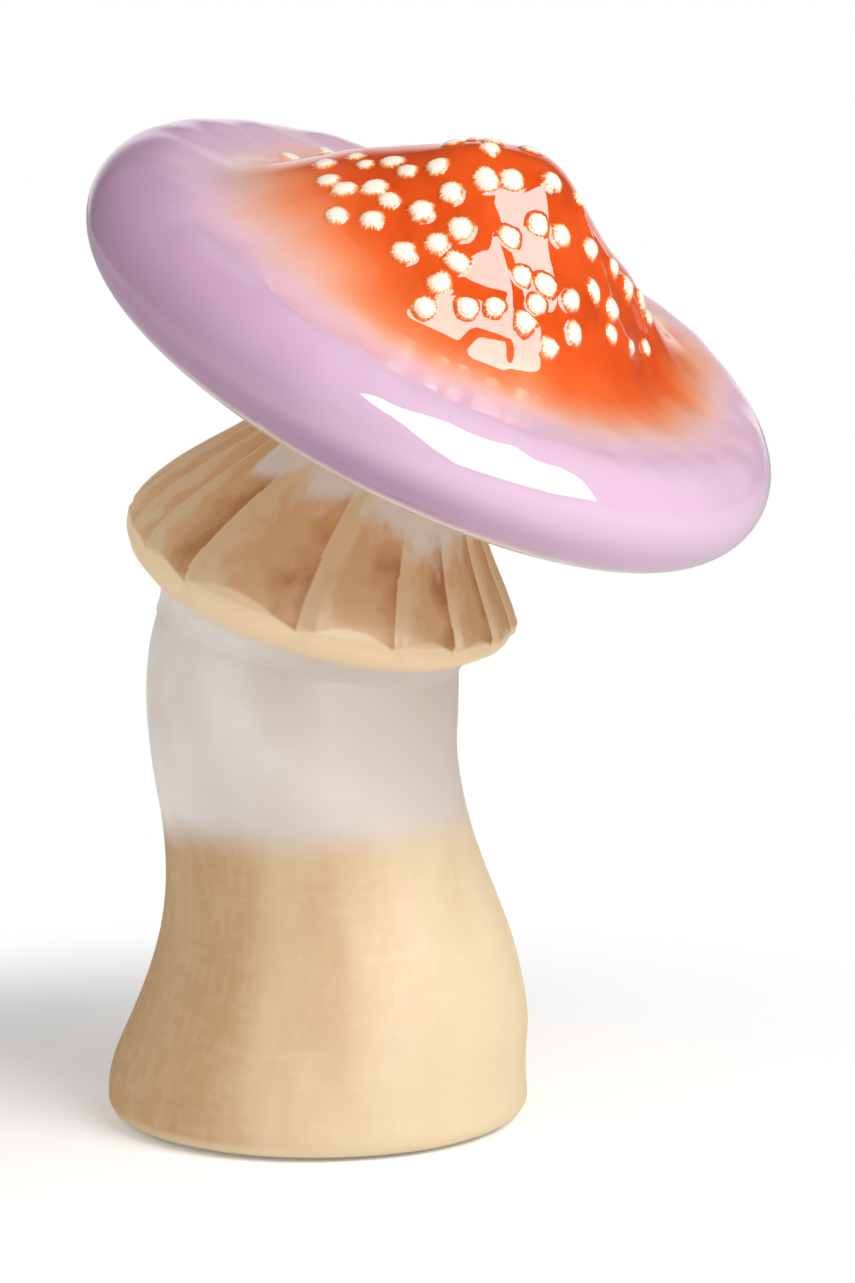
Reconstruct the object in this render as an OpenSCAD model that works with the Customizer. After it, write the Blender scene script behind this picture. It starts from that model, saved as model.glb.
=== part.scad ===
// Ceramic mushroom figurine: a swaying hollow stem on a felt pad, a pleated
// skirt round its neck, and a wide cap tilted to one side, with a tall boss
// that carries raised dots.
//
// Millimetres, +Z up. The origin is the middle of the felt pad's lower face.
// Seen from the front, along +Y, +X is to the right. A lean tips an axis away
// from upright, and its turn is counted from +X towards the viewer.

/* [Foot] */
// Half the width of the foot, where it is widest
foot_r = 42.5; // [38:0.5:46]
// Radius of the rounded lower edge of the foot
foot_edge_r = 4; // [2:0.5:6]
// Height over which the foot flares out of the stem
flare_h = 62; // [50:1:80]
// Radius of the felt pad under the foot
pad_r = 33; // [26:0.5:35]
// Thickness of the felt pad
pad_t = 1.6; // [1.2:0.1:2.4]
// Depth of the recess that the pad is stuck in
pad_recess = 1; // [0.4:0.1:1.2]
// Radius of the vent hole in the bottom of the casting
vent_r = 1.8; // [1:0.1:2]

/* [Stem] */
// Radius of the stem above the foot
stem_r = 31.6; // [28:0.1:34]
// Height of the middle of the seat that the skirt stands on
seat_z = 102; // [94:1:112]
// Radius of the stem at that seat
seat_r = 29.8; // [26:0.1:30]
// How far the seat is shifted to the right
seat_x = 0.6; // [-4:0.1:4]
// How far the seat is shifted away from the viewer
seat_y = -1; // [-4:0.1:4]
// Lean of the seat
seat_lean = 16.5; // [10:0.5:24]
// Turn of the seat's lean, from +X towards the viewer
seat_turn = 28; // [20:1:50]
// Height of the rounded shoulder under the seat
shoulder_h = 16; // [10:1:24]
// How far the stem sways to each side
sway = 3.6; // [0:0.1:6]
// Wall of the hollow stem
stem_wall = 5; // [4:0.5:7]
// Radius of the neck that passes through the skirt into the cap
neck_r = 13; // [10:0.5:14]
// Length of the neck inside the cap
tenon_h = 9; // [6:0.5:12]

/* [Skirt] */
// Radius of the skirt at its rim
skirt_r = 39.5; // [36:0.5:44]
// Height of the skirt's rim over its seat
skirt_rim_h = 9; // [6:0.5:12]
// How far the skirt's lower part is pushed to the right
skirt_shift = -5; // [-8:0.5:4]
// Radius of the skirt at its top, under the cap
skirt_top_r = 17; // [16:0.5:20]
// Depth of the pleats at the rim
pleat_depth = 1.8; // [0.5:0.1:2.2]

/* [Cap] */
// Radius of the cap
cap_r = 73; // [66:0.5:82]
// Half the thickness of the cap's rim
rim_r = 11.5; // [9:0.5:13]
// Place of the middle of the cap, to the right
cap_x = 23; // [14:0.5:30]
// Place of the middle of the cap, away from the viewer
cap_y = -12.5; // [-20:0.5:0]
// Height of the middle of the cap
cap_z = 158.5; // [152:0.5:168]
// Lean of the cap
cap_lean = 29; // [20:0.5:34]
// Turn of the cap's lean, from +X towards the viewer
cap_turn = 26.5; // [10:0.5:50]
// Rise of the cap's top from its rim to its middle
dome_h = 3.5; // [0:0.5:8]
// Wall of the cap's upper shell and of its underside
cap_wall = 5; // [4:0.5:6]
// Depth of the flat collar under the cap, below the middle of the rim
collar_depth = 14; // [12.5:0.5:18]
// Radius of that collar
collar_r = 20; // [18:0.5:26]
// Number of gills under the cap
gills = 48; // [24:1:48]
// Depth of the gills
gill_depth = 0.9; // [0.3:0.1:1.5]

/* [Boss] */
// Height of the boss over the top of the cap
boss_h = 27; // [18:0.5:32]
// The boss's reach from its middle to its foot on the left, as a share of the
// cap's radius
boss_left_share = 0.795; // [0.65:0.005:0.82]
// The same on the right
boss_right_share = 0.534; // [0.46:0.005:0.68]
// The same towards the viewer
boss_front_share = 0.521; // [0.45:0.005:0.63]
// The same away from the viewer
boss_back_share = 0.603; // [0.5:0.005:0.74]
// Place of the boss to the right, as a share of the cap's radius
boss_x_share = 0.027; // [-0.08:0.005:0.1]
// Place of the boss away from the viewer, as a share of the cap's radius
boss_y_share = -0.082; // [-0.13:0.005:0.08]
// Height of a middling lump on the boss
lump_h = 1.8; // [0:0.1:2.5]

/* [Dots] */
// Radius of a dot of full size
dot_r = 2.3; // [1.8:0.1:3]
// Height of a dot of full size
dot_h = 1.2; // [0.8:0.1:2]

/* [Hidden] */

// Thickness of the glaze line between two pieces that are stuck together
glaze_gap = 0.1;
// How far a cut runs past the face that it opens
overrun = 0.5;
// Clearance under a dot, for the facets of the cap below it
dot_gap = 0.15;
// Places round a dot where the cap's top is looked up
dot_probes = 12;
// Clearance round the pad in its recess
pad_gap = 0.3;
// Sides of the round pad, of a bar through the skirt, and of a dot
pad_sides = 96;
bar_sides = 64;
dot_sides = 32;
// Sides of each ring of the cap and the stem
cap_sides = 2 * gills;
stem_sides = 48;
// Rows of rings
stem_rows = 16;
edge_rows = 4;
cavity_rows = 6;
crown_rows = 15;
inner_rows = 4;
inner_rim_rows = 4;
rim_rows = 7;
gill_rows = 5;
lip_rows = 2;
// Angle below the rim's middle at which the upper shell meets the underside
seam_angle = 62;
// Radius of the circle at the middle of the cap's rounded rim
rim_centre_r = cap_r - rim_r;

// Height of the foot's lower face, which the pad holds off the ground
foot_z = pad_t - pad_recess;
// Height of the stem, from that face to the seat
stem_h = seat_z - foot_z;
// Where the stem's sway crosses its middle, and the length of a full sway, as
// shares of the seat's height
sway_mid_share = 0.57;
sway_length_share = 0.96;
// Height over which the sway fades out at the foot, as a share of the same
sway_fade_share = 0.2;
// The skirt's underside, from its seat out to the rim: height as a share of
// the rim's height, reach as a share of the way out, and share of the pleats
lip_shares = [[0, 0, 0], [0.3, 0.16, 0.1], [0.6, 0.46, 0.35], [0.82, 0.8, 0.8], [0.97, 0.98, 1]];
// The skirt's outside, from its rim to its top: height as a share of the way
// up, reach as a share of the way out, and share of the pleats
frill_shares = [[0.05, 1, 1], [0.13, 0.94, 1], [0.24, 0.83, 0.9], [0.37, 0.67, 0.8],
    [0.52, 0.46, 0.65], [0.68, 0.26, 0.5], [0.84, 0.1, 0.35], [1, 0, 0.25]];
// Where the hand-pressed pleats start, in degrees from the right towards the
// far side. Each rises at once from its start and falls slowly to the next.
pleat_starts = [20, 44, 63, 90, 112, 139, 158, 176, 190, 206, 230, 266, 296, 318, 338, 356];
// A pleat's outline: share of the way to the next pleat, and share of the depth
pleat_shares = [[0, 0], [0.07, 0.75], [0.16, 1], [0.4, 0.86], [0.64, 0.6], [0.84, 0.28]];
// How far the skirt's rim wanders in and out, as a share of the pleat depth,
// and the angle that its three waves start at
wander_share = 0.7;
wander_start = 40;
// Thickness of the stem's roof as a share of its wall, and how suddenly the
// hollow closes at its ends
roof_share = 1.5;
hollow_power = 6;
// The lumps of the boss: place to the right and away, reach, height. The
// first three are shares of the cap's radius, the last of the lump height.
lump_shares = [
    [-0.14, -0.08, 0.10, 0.4], [-0.05, 0.03, 0.11, 0.7], [0.05, -0.14, 0.09, 0.8],
    [0.16, -0.01, 0.14, 0.7], [0.08, 0.14, 0.16, 1.6], [0.32, 0.04, 0.10, 0.4],
    [0.44, 0.21, 0.15, 4.0], [-0.24, 0.06, 0.12, 0.3], [-0.20, 0.26, 0.11, 0.7],
    [-0.40, 0.10, 0.10, 0.5], [-0.06, -0.40, 0.10, 0.4], [0.26, -0.30, 0.10, 0.6],
    [0.44, 0.06, 0.15, 1.5], [0.46, -0.16, 0.10, 0.5], [0.56, 0.48, 0.26, 0.9],
    [-0.34, 0.66, 0.26, 0.6]];
// How far the boss's tip and its foot are rounded, as shares of its reach
boss_tip_share = 0.36;
boss_foot_share = 0.06;

// The dots: distance from the middle of the cap as a share of its radius,
// degrees from the right towards the far side, and size as a share.
peak_dot_shares = [
    [0.2, 200, 0.9], [0.163, 231, 0.9], [0.115, 210, 0.9], [0.14, 188, 0.75], [0.152, 299, 1],
    [0.178, 338, 0.8], [0.02, 275, 0.85], [0.15, 128, 0.8], [0.14, 80, 0.9], [0.21, 36, 0.9]];
front_dot_shares = [
    [0.36, 235, 1.05], [0.294, 238, 1], [0.227, 248, 1.1], [0.187, 263, 1.1], [0.338, 253, 1.1],
    [0.389, 249, 1], [0.444, 242, 1.05], [0.401, 259, 0.95], [0.306, 274, 1], [0.255, 288, 1],
    [0.459, 258, 1], [0.515, 258, 1], [0.477, 269, 1], [0.456, 277, 0.9], [0.371, 284, 0.95],
    [0.416, 292, 0.95], [0.463, 288, 1]];
left_dot_shares = [
    [0.655, 144, 1], [0.71, 128, 0.9], [0.473, 190, 1], [0.405, 188, 0.8], [0.394, 198, 0.8],
    [0.482, 202, 0.9], [0.461, 209, 0.95], [0.404, 214, 1], [0.338, 202, 0.95], [0.326, 213, 0.85],
    [0.277, 221, 1], [0.396, 223, 0.9], [0.504, 218, 0.95], [0.449, 226, 1], [0.31, 154, 0.8],
    [0.4, 156, 0.8], [0.49, 160, 0.9], [0.57, 155, 0.8]];
right_dot_shares = [
    [0.263, 304, 1.05], [0.275, 330, 1], [0.373, 295, 1], [0.493, 298, 0.9], [0.394, 307, 0.95],
    [0.36, 323, 1], [0.395, 336, 1], [0.454, 308, 0.9], [0.438, 331, 0.9], [0.474, 344, 0.85],
    [0.515, 3, 0.8], [0.33, 355, 0.85], [0.39, 3, 1], [0.47, 15, 0.95], [0.52, 16, 0.75]];
back_dot_shares = [
    [0.21, 112, 1], [0.24, 88, 0.9], [0.2, 62, 1], [0.27, 42, 0.9], [0.29, 68, 1],
    [0.3, 122, 0.9], [0.28, 142, 0.8], [0.33, 100, 1], [0.36, 80, 0.9], [0.36, 53, 1],
    [0.35, 30, 0.8], [0.42, 114, 1], [0.43, 92, 0.9], [0.44, 66, 0.9], [0.45, 42, 1],
    [0.41, 134, 0.8], [0.56, 104, 0.8], [0.56, 78, 0.9], [0.54, 54, 0.9], [0.55, 30, 0.8],
    [0.57, 126, 0.9], [0.65, 90, 0.9], [0.63, 66, 0.8], [0.61, 112, 0.8]];

// Axes of the seat, of the cap, and the neck's line between them
seat_mid = stem_line(1);
seat_axis = leant([0, 0, 1], seat_lean, seat_turn);
cap_mid = [cap_x, cap_y, cap_z];
cap_axis = leant([0, 0, 1], cap_lean, cap_turn);
collar_mid = cap_mid - collar_depth * cap_axis;
neck_line = collar_mid - seat_mid;
neck_len = norm(neck_line);
neck_lean = acos(neck_line[2] / neck_len);
neck_turn = atan2(-neck_line[1], neck_line[0]);

// From 0 to 1, level at both ends
function ease(t) = (1 - cos(180 * min(1, max(0, t)))) / 2;

// A point turned by a lean, about a level line
function leant(p, lean, turn) = let (k = [sin(turn), cos(turn), 0])
    p * cos(lean) + cross(k, p) * sin(lean) + k * (k * p) * (1 - cos(lean));

// The middle of the stem, from the foot at 0 to the seat at 1
function stem_line(t) = let (
    side = sway * sin(360 * (sway_mid_share - t) / sway_length_share) * ease(t / sway_fade_share))
    [side + seat_x * ease(t), seat_y * ease(t), foot_z + stem_h * t];

// The radius of the stem at a share of its height
function stem_radius(t) = let (
    flare = (foot_r - stem_r) * (1 - ease(stem_h * t / flare_h)),
    up = max(0, 1 - stem_h * (1 - t) / shoulder_h))
    stem_r + flare - (stem_r - seat_r) * up * up;

// A round ring of the stem or its neck, square to a leaning axis
function round_ring(middle, r, lean = 0, turn = 0) = [for (i = [0:stem_sides - 1])
    let (a = 360 * i / stem_sides)
        middle + leant([r * cos(a), r * sin(a), 0], lean, turn)];

// A ring of the stem's side, which tips over towards the seat as it rises
function stem_ring(t, inset = 0) =
    round_ring(stem_line(t), stem_radius(t) - inset, seat_lean * t * ease(t), seat_turn);

// A ring at the foot
function foot_ring(z, r) = round_ring([0, 0, z], r);

// The middle of the skirt, a curve from the seat at 0 to the collar at 1
function skirt_line(t) = let (
    reach = neck_len / 3,
    top = collar_mid - glaze_gap * cap_axis,
    bend = [seat_mid, seat_mid + reach * seat_axis + [skirt_shift, 0, 0], top - reach * cap_axis, top])
    pow(1 - t, 3) * bend[0] + 3 * t * pow(1 - t, 2) * bend[1]
        + 3 * t * t * (1 - t) * bend[2] + pow(t, 3) * bend[3];

// The angle from a pleat's start to the next one's
function pleat_width(i) = let (next = pleat_starts[(i + 1) % len(pleat_starts)] - pleat_starts[i])
    next > 0 ? next : next + 360;

// A ring of the skirt
function skirt_ring(t, radius, depth_share) = [for (i = [0:len(pleat_starts) - 1], row = pleat_shares)
    let (
        a = pleat_starts[i] + pleat_width(i) * row[0],
        r = radius + pleat_depth * depth_share * (row[1] + wander_share * sin(3 * a + wander_start)))
        skirt_line(t) + leant([r * cos(a), r * sin(a), 0],
            seat_lean + (cap_lean - seat_lean) * t, seat_turn + (cap_turn - seat_turn) * t)];

// A slope that levels off softly below 0
function soft(rise, width) = (rise + norm([rise, width])) / 2;

// A cone with a rounded tip, which is 1 there and ends at a distance of 1
function cone(distance) = soft(1 - norm([distance, boss_tip_share]), boss_foot_share)
    / soft(1 - boss_tip_share, boss_foot_share);

// How far the boss rises over the top of the cap, with or without its lumps
function boss_rise(x, y, lumps = 1) = let (
    right = x / cap_r - boss_x_share,
    away = y / cap_r - boss_y_share,
    across = right / (right < 0 ? boss_left_share : boss_right_share),
    along = away / (away < 0 ? boss_front_share : boss_back_share))
    boss_h * cone(norm([across, along])) + lumps * lump_h * sum([for (row = lump_shares)
        row[3] * exp(-pow(norm([x - row[0] * cap_r, y - row[1] * cap_r]) / (row[2] * cap_r), 2))]);

// The sum of a list
function sum(values) = values * [for (value = values) 1];

// The height of the cap's top over the middle of its rim
function crown_height(x, y, lumps = 1) =
    rim_r + dome_h * (1 - ease(norm([x, y]) / rim_centre_r)) + boss_rise(x, y, lumps);

// The direction square to the cap's top
function crown_normal(x, y) = let (
    slope_x = (crown_height(x + overrun, y) - crown_height(x - overrun, y)) / (2 * overrun),
    slope_y = (crown_height(x, y + overrun) - crown_height(x, y - overrun)) / (2 * overrun))
    [-slope_x, -slope_y, 1];

// How far the cap's top, round a dot, stands over the plane that touches it
// below the dot's middle
function dot_lift(x, y, r, normal) = max(0, max([for (i = [0:dot_probes - 1])
    let (a = 360 * i / dot_probes, dx = r * cos(a), dy = r * sin(a))
        [dx, dy, crown_height(x + dx, y + dy) - crown_height(x, y)] * normal]));

// A ring of the cap's top, at a distance from the middle
function crown_ring(q, inset = 0, lumps = 1) = [for (i = [0:cap_sides - 1])
    let (a = 360 * i / cap_sides, x = q * cos(a), y = q * sin(a))
        [x, y, crown_height(x, y, lumps) - inset]];

// A ring of the cap's rounded rim, at an angle above the rim's middle
function rim_ring(angle, radius) = [for (i = [0:cap_sides - 1])
    let (a = 360 * i / cap_sides, q = rim_centre_r + radius * cos(angle), x = q * cos(a), y = q * sin(a))
        [x, y, radius * sin(angle) + max(0, sin(angle)) * boss_rise(x, y)]];

// A level ring of the cap
function level_ring(q, z) = [for (i = [0:cap_sides - 1])
    let (a = 360 * i / cap_sides) [q * cos(a), q * sin(a), z]];

// A ring of the gilled underside, between the collar at 0 and the rim at 1
function gill_ring(t, rise, depth) = [for (i = [0:cap_sides - 1])
    let (a = 360 * i / cap_sides, q = collar_r + (rim_centre_r - collar_r) * t)
        [q * cos(a), q * sin(a), -collar_depth + (collar_depth - rim_r) * ease(t) + rise + depth * (i % 2)]];

// A closed solid over rings of points, with a point at each end
module skin(rings, start, end) {
    n = len(rings[0]);
    m = len(rings);
    sides = [for (i = [0:m - 2], j = [0:n - 1]) let (k = (j + 1) % n)
        each [[i * n + j, i * n + k, (i + 1) * n + k], [i * n + j, (i + 1) * n + k, (i + 1) * n + j]]];
    first = [for (j = [0:n - 1]) [m * n, (j + 1) % n, j]];
    last = [for (j = [0:n - 1]) [m * n + 1, (m - 1) * n + j, (m - 1) * n + (j + 1) % n]];
    polyhedron(concat([for (ring = rings) each ring], [start, end]), concat(sides, first, last));
}

// Puts its children in the cap's own frame
module on_cap() {
    translate(cap_mid) rotate(cap_lean, [sin(cap_turn), cos(cap_turn), 0]) children();
}

// A bar along the neck's line, between two distances from the seat
module neck_bar(r, from, to) {
    translate(seat_mid)
        rotate(neck_lean, [sin(neck_turn), cos(neck_turn), 0])
            translate([0, 0, from])
                cylinder(h = to - from, r = r, $fn = bar_sides);
}

module base_pad() {
    color("dimgray")
        cylinder(h = pad_t, r = pad_r, $fn = pad_sides);
}

module stem() {
    // The hollow that the casting leaves, from its top down, rounded at both ends
    low = (pad_recess + stem_wall) / stem_h;
    high = 1 - roof_share * stem_wall / stem_h;
    hollow = [for (i = [cavity_rows:-1:0]) let (end = 2 * i / cavity_rows - 1)
        stem_ring(low + (high - low) * i / cavity_rows, stem_wall * (1 + pow(end, hollow_power)))];
    // The vent, and the recess for the pad
    bottom = [foot_ring(foot_z + low * stem_h, vent_r), foot_ring(pad_t, vent_r),
        foot_ring(pad_t, pad_r + pad_gap), foot_ring(foot_z, pad_r + pad_gap)];
    edge_share = foot_edge_r / stem_h;
    edge = [for (i = [0:edge_rows - 1]) let (a = 90 * i / edge_rows)
        stem_ring(edge_share * (1 - cos(a)), foot_edge_r * (1 - sin(a)))];
    side = [for (i = [0:stem_rows]) stem_ring(edge_share + (1 - edge_share) * i / stem_rows)];
    neck_top = seat_mid + neck_line * (1 + tenon_h / neck_len);
    neck = [round_ring(seat_mid, neck_r, seat_lean, seat_turn),
        round_ring(neck_top, neck_r, neck_lean, neck_turn)];
    color("antiquewhite")
        skin(concat(hollow, bottom, edge, side, neck), stem_line(high), neck_top);
}

module skirt() {
    rim_share = skirt_rim_h / neck_len;
    lip = [for (row = lip_shares)
        skirt_ring(rim_share * row[0], seat_r + (skirt_r - seat_r) * row[1], row[2])];
    frill = [for (row = frill_shares)
        skirt_ring(rim_share + (1 - rim_share) * row[0],
            skirt_top_r + (skirt_r - skirt_top_r) * row[1], row[2])];
    color("tan")
        difference() {
            translate(glaze_gap * seat_axis)
                skin(concat(lip, frill), skirt_line(0), skirt_line(1));
            neck_bar(neck_r + glaze_gap, -overrun, neck_len + tenon_h);
        }
}

module cap_underside() {
    inside_r = rim_r - cap_wall;
    // The glaze holds the two sides of the seam apart
    lip_angle = 90 - seam_angle - asin(glaze_gap / rim_r);
    // The gills fade out at the collar and at the rim
    gilled = [for (i = [0:gill_rows])
        gill_ring(i / gill_rows, 0, i == 0 || i == gill_rows ? 0 : gill_depth)];
    lip = [for (i = [1:lip_rows]) rim_ring(-90 + lip_angle * i / lip_rows, rim_r)];
    inner_lip = [for (i = [lip_rows:-1:0]) rim_ring(-90 + lip_angle * i / lip_rows, inside_r)];
    plate = [for (i = [gill_rows - 1:-2:0]) gill_ring(i / gill_rows, cap_wall, 0)];
    // The socket for the neck's end stands on the plate
    socket_top = tenon_h - collar_depth;
    socket = [for (z = [cap_wall - collar_depth, socket_top]) level_ring(neck_r + cap_wall, z)];
    color("bisque")
        difference() {
            on_cap()
                skin(concat(gilled, lip, inner_lip, plate, socket),
                    [0, 0, -collar_depth], [0, 0, socket_top]);
            neck_bar(neck_r + glaze_gap, neck_len - cap_wall, neck_len + tenon_h + cap_wall);
        }
}

module cap_crown() {
    outside = [for (i = [1:crown_rows]) crown_ring(rim_centre_r * i / crown_rows)];
    sweep = 90 + seam_angle;
    rim = [for (i = [1:rim_rows]) rim_ring(90 - sweep * i / rim_rows, rim_r)];
    inner_rim = [for (i = [0:inner_rim_rows])
        rim_ring(-seam_angle + sweep * i / inner_rim_rows, rim_r - cap_wall)];
    inside = [for (i = [inner_rows - 1:-1:1]) crown_ring(rim_centre_r * i / inner_rows, cap_wall, 0)];
    color("plum")
        on_cap()
            skin(concat(outside, rim, inner_rim, inside),
                [0, 0, crown_height(0, 0)], [0, 0, crown_height(0, 0, 0) - cap_wall]);
}

// A raised dot with a flat base, square to the top of the cap
module dot(x, y, size) {
    r = dot_r * size;
    h = dot_h * size;
    ball_r = (r * r + h * h) / (2 * h);
    normal = crown_normal(x, y) / norm(crown_normal(x, y));
    translate([x, y, crown_height(x, y)])
        rotate(acos(normal[2]), cross([0, 0, 1], normal))
            translate([0, 0, dot_gap + dot_lift(x, y, r, normal)])
                intersection() {
                    translate([0, 0, h - ball_r]) sphere(r = ball_r, $fn = dot_sides);
                    translate([-ball_r, -ball_r, 0]) cube(2 * ball_r);
                }
}

module dots(rows) {
    color("ivory")
        on_cap()
            for (row = rows)
                dot(row[0] * cap_r * cos(row[1]), row[0] * cap_r * sin(row[1]), row[2]);
}

base_pad();
stem();
skirt();
cap_underside();
cap_crown();
dots(peak_dot_shares);  // dots_peak
dots(front_dot_shares);  // dots_front
dots(left_dot_shares);  // dots_left
dots(right_dot_shares);  // dots_right
dots(back_dot_shares);  // dots_back
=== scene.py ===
"""A glazed ceramic mushroom figurine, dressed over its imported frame.

The figurine is slip cast: a swaying hollow stem, a pleated skirt luted round its
neck, and a wide tilted cap whose boss carries raised dots of slip. Each piece is
modelled as one skin in millimetres, bent or tilted into its place in the frame,
and glazed with its own material. All the pieces ride on the one body, root.
"""

from __future__ import annotations

import logging
import math
import random
from dataclasses import dataclass, field
from enum import Enum
from typing import Callable, Iterable, Mapping, Sequence

import bmesh
import bpy
from mathutils import Euler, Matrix, Quaternion, Vector, noise

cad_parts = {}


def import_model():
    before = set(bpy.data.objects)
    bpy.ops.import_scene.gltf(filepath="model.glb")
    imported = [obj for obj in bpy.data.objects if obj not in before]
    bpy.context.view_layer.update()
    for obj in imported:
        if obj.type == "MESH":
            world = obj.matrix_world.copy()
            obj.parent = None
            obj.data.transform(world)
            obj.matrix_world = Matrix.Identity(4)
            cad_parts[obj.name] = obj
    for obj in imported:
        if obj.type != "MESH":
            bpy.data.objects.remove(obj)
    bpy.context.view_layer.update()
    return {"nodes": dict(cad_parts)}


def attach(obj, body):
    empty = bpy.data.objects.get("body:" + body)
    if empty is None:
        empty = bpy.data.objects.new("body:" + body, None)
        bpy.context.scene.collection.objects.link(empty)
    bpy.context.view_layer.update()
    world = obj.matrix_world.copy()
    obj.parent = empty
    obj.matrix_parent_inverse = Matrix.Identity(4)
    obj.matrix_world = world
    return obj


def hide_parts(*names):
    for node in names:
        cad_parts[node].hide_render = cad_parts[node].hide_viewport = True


LOG = logging.getLogger("mushroom")

MM = 0.001
BODY = "root"

Spot = tuple[float, float]
Profile = Sequence[Spot]
Feed = bpy.types.Node | bpy.types.NodeSocket | float | Sequence[float]

# Names under which a piece's mesh hands its own measures to its material
SPREAD = "spread"
SKIRT_MARKS = ("pleat", "drop", "unrolled")
GILL_MARKS = ("crest", "climb")

# A map range node with this setting passes softly from one mark to the next
SMOOTH = {"interpolation_type": "SMOOTHSTEP"}


class Slot(Enum):
    """The record's material slots."""

    FELT = "felt"
    STEM = "stem_glaze"
    SKIRT = "skirt_glaze"
    UNDERSIDE = "underside_glaze"
    CAP = "cap_glaze"
    DOTS = "dot_glaze"


def linear(code: str) -> tuple[float, float, float, float]:
    """Turns an sRGB hex colour into the linear colour that a shader works in.

    Args:
        code: Six hex digits, with or without a leading #.

    Returns:
        Red, green, blue and a full alpha.
    """
    digits = code.lstrip("#")
    parts = [int(digits[at : at + 2], 16) / 255 for at in (0, 2, 4)]
    red, green, blue = (
        part / 12.92 if part <= 0.04045 else ((part + 0.055) / 1.055) ** 2.4 for part in parts
    )
    return red, green, blue, 1.0


def ease(share: float) -> float:
    """A share from 0 to 1 that is level at both ends."""
    return (1 - math.cos(math.pi * min(1.0, max(0.0, share)))) / 2


def smooth(low: float, high: float, value: float) -> float:
    """How far a value has passed from a low to a high mark, eased at both."""
    return ease((value - low) / (high - low))


def hill(distance: float, reach: float, power: float = 2.0) -> float:
    """A rounded rise that is 1 at its middle and has fallen by two thirds at its reach."""
    return math.exp(-((abs(distance) / reach) ** power))


def soft(rise: float, width: float) -> float:
    """A slope that levels off softly below zero."""
    return (rise + math.hypot(rise, width)) / 2


def to_segment(x: float, y: float, start: Spot, end: Spot) -> float:
    """Measures the distance in a plane from a point to a straight stretch.

    Args:
        x: The point's first coordinate.
        y: Its second coordinate.
        start: One end of the stretch.
        end: The stretch's other end.

    Returns:
        The distance.
    """
    run_x, run_y = end[0] - start[0], end[1] - start[1]
    share = ((x - start[0]) * run_x + (y - start[1]) * run_y) / (run_x**2 + run_y**2)
    share = min(1.0, max(0.0, share))
    return math.hypot(x - start[0] - share * run_x, y - start[1] - share * run_y)


def between(marks: Sequence[Spot], place: float) -> float:
    """Reads a value at a place between marks, eased from each mark to the next.

    Args:
        marks: Place and value of each mark, in the order of their places.
        place: Where the value is read.

    Returns:
        The value.
    """
    if place <= marks[0][0]:
        return marks[0][1]
    for (start, low), (end, high) in zip(marks, marks[1:]):
        if place <= end:
            return low + (high - low) * ease((place - start) / (end - start))
    return marks[-1][1]


def through(points: Profile, steps: int) -> list[Spot]:
    """Draws a smooth curve through points, as a bent spline would lie.

    Args:
        points: The points of the outline.
        steps: Pieces between each point and the next.

    Returns:
        The points of the curve, both ends included.
    """
    first, last = points[0], points[-1]
    before = (2 * first[0] - points[1][0], 2 * first[1] - points[1][1])
    after = (2 * last[0] - points[-2][0], 2 * last[1] - points[-2][1])
    padded = [before, *points, after]
    curve = []
    for index in range(1, len(padded) - 2):
        a, b, c, d = padded[index - 1 : index + 3]
        for step in range(steps):
            t = step / steps
            curve.append(
                tuple(
                    0.5
                    * (
                        2 * b[axis]
                        + (c[axis] - a[axis]) * t
                        + (2 * a[axis] - 5 * b[axis] + 4 * c[axis] - d[axis]) * t**2
                        + (3 * b[axis] - a[axis] - 3 * c[axis] + d[axis]) * t**3
                    )
                    for axis in (0, 1)
                )
            )
    curve.append(tuple(last))
    return curve


def arc(
    centre: Spot, radius: float, start: float, end: float, steps: int
) -> list[Spot]:
    """Draws an arc in the outline's plane.

    Args:
        centre: Reach and height of the arc's centre.
        radius: Radius of the arc.
        start: Degrees above level at which the arc starts.
        end: Degrees at which it ends.
        steps: Pieces along the arc.

    Returns:
        The points of the arc, both ends included.
    """
    angles = [math.radians(start + (end - start) * step / steps) for step in range(steps + 1)]
    return [(centre[0] + radius * math.cos(a), centre[1] + radius * math.sin(a)) for a in angles]


def turned(profile: Profile, sides: int, closed: bool = False) -> bmesh.types.BMesh:
    """Wraps an outline round the upright axis, as if turned on a wheel.

    Args:
        profile: Reach and height of each point, in millimetres.
        sides: Sides of the turned form.
        closed: Whether the outline's last point joins its first.

    Returns:
        The skin, with its seam and poles merged and its faces outwards.
    """
    outline = [*profile, profile[0]] if closed else list(profile)
    rows = len(outline) - 1
    mesh = bmesh.new()
    bmesh.ops.create_grid(mesh, x_segments=sides, y_segments=rows, size=1.0)
    for vert in mesh.verts:
        angle = math.pi * (vert.co.x + 1)
        reach, height = outline[round((vert.co.y + 1) / 2 * rows)]
        vert.co = (reach * math.cos(angle), reach * math.sin(angle), height)
    bmesh.ops.remove_doubles(mesh, verts=mesh.verts, dist=1e-5)
    bmesh.ops.dissolve_degenerate(mesh, edges=mesh.edges, dist=1e-6)
    bmesh.ops.recalc_face_normals(mesh, faces=mesh.faces)
    return mesh


def bent(
    mesh: bmesh.types.BMesh, place: Callable[[float, float, float], Vector]
) -> bmesh.types.BMesh:
    """Moves each point of a turned form to where a rule puts it.

    Args:
        mesh: A form turned round the upright axis.
        place: Gives the place for a reach, an angle and a height.

    Returns:
        The same form, bent.
    """
    for vert in mesh.verts:
        x, y, z = vert.co
        vert.co = place(math.hypot(x, y), math.atan2(y, x), z)
    return mesh


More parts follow.
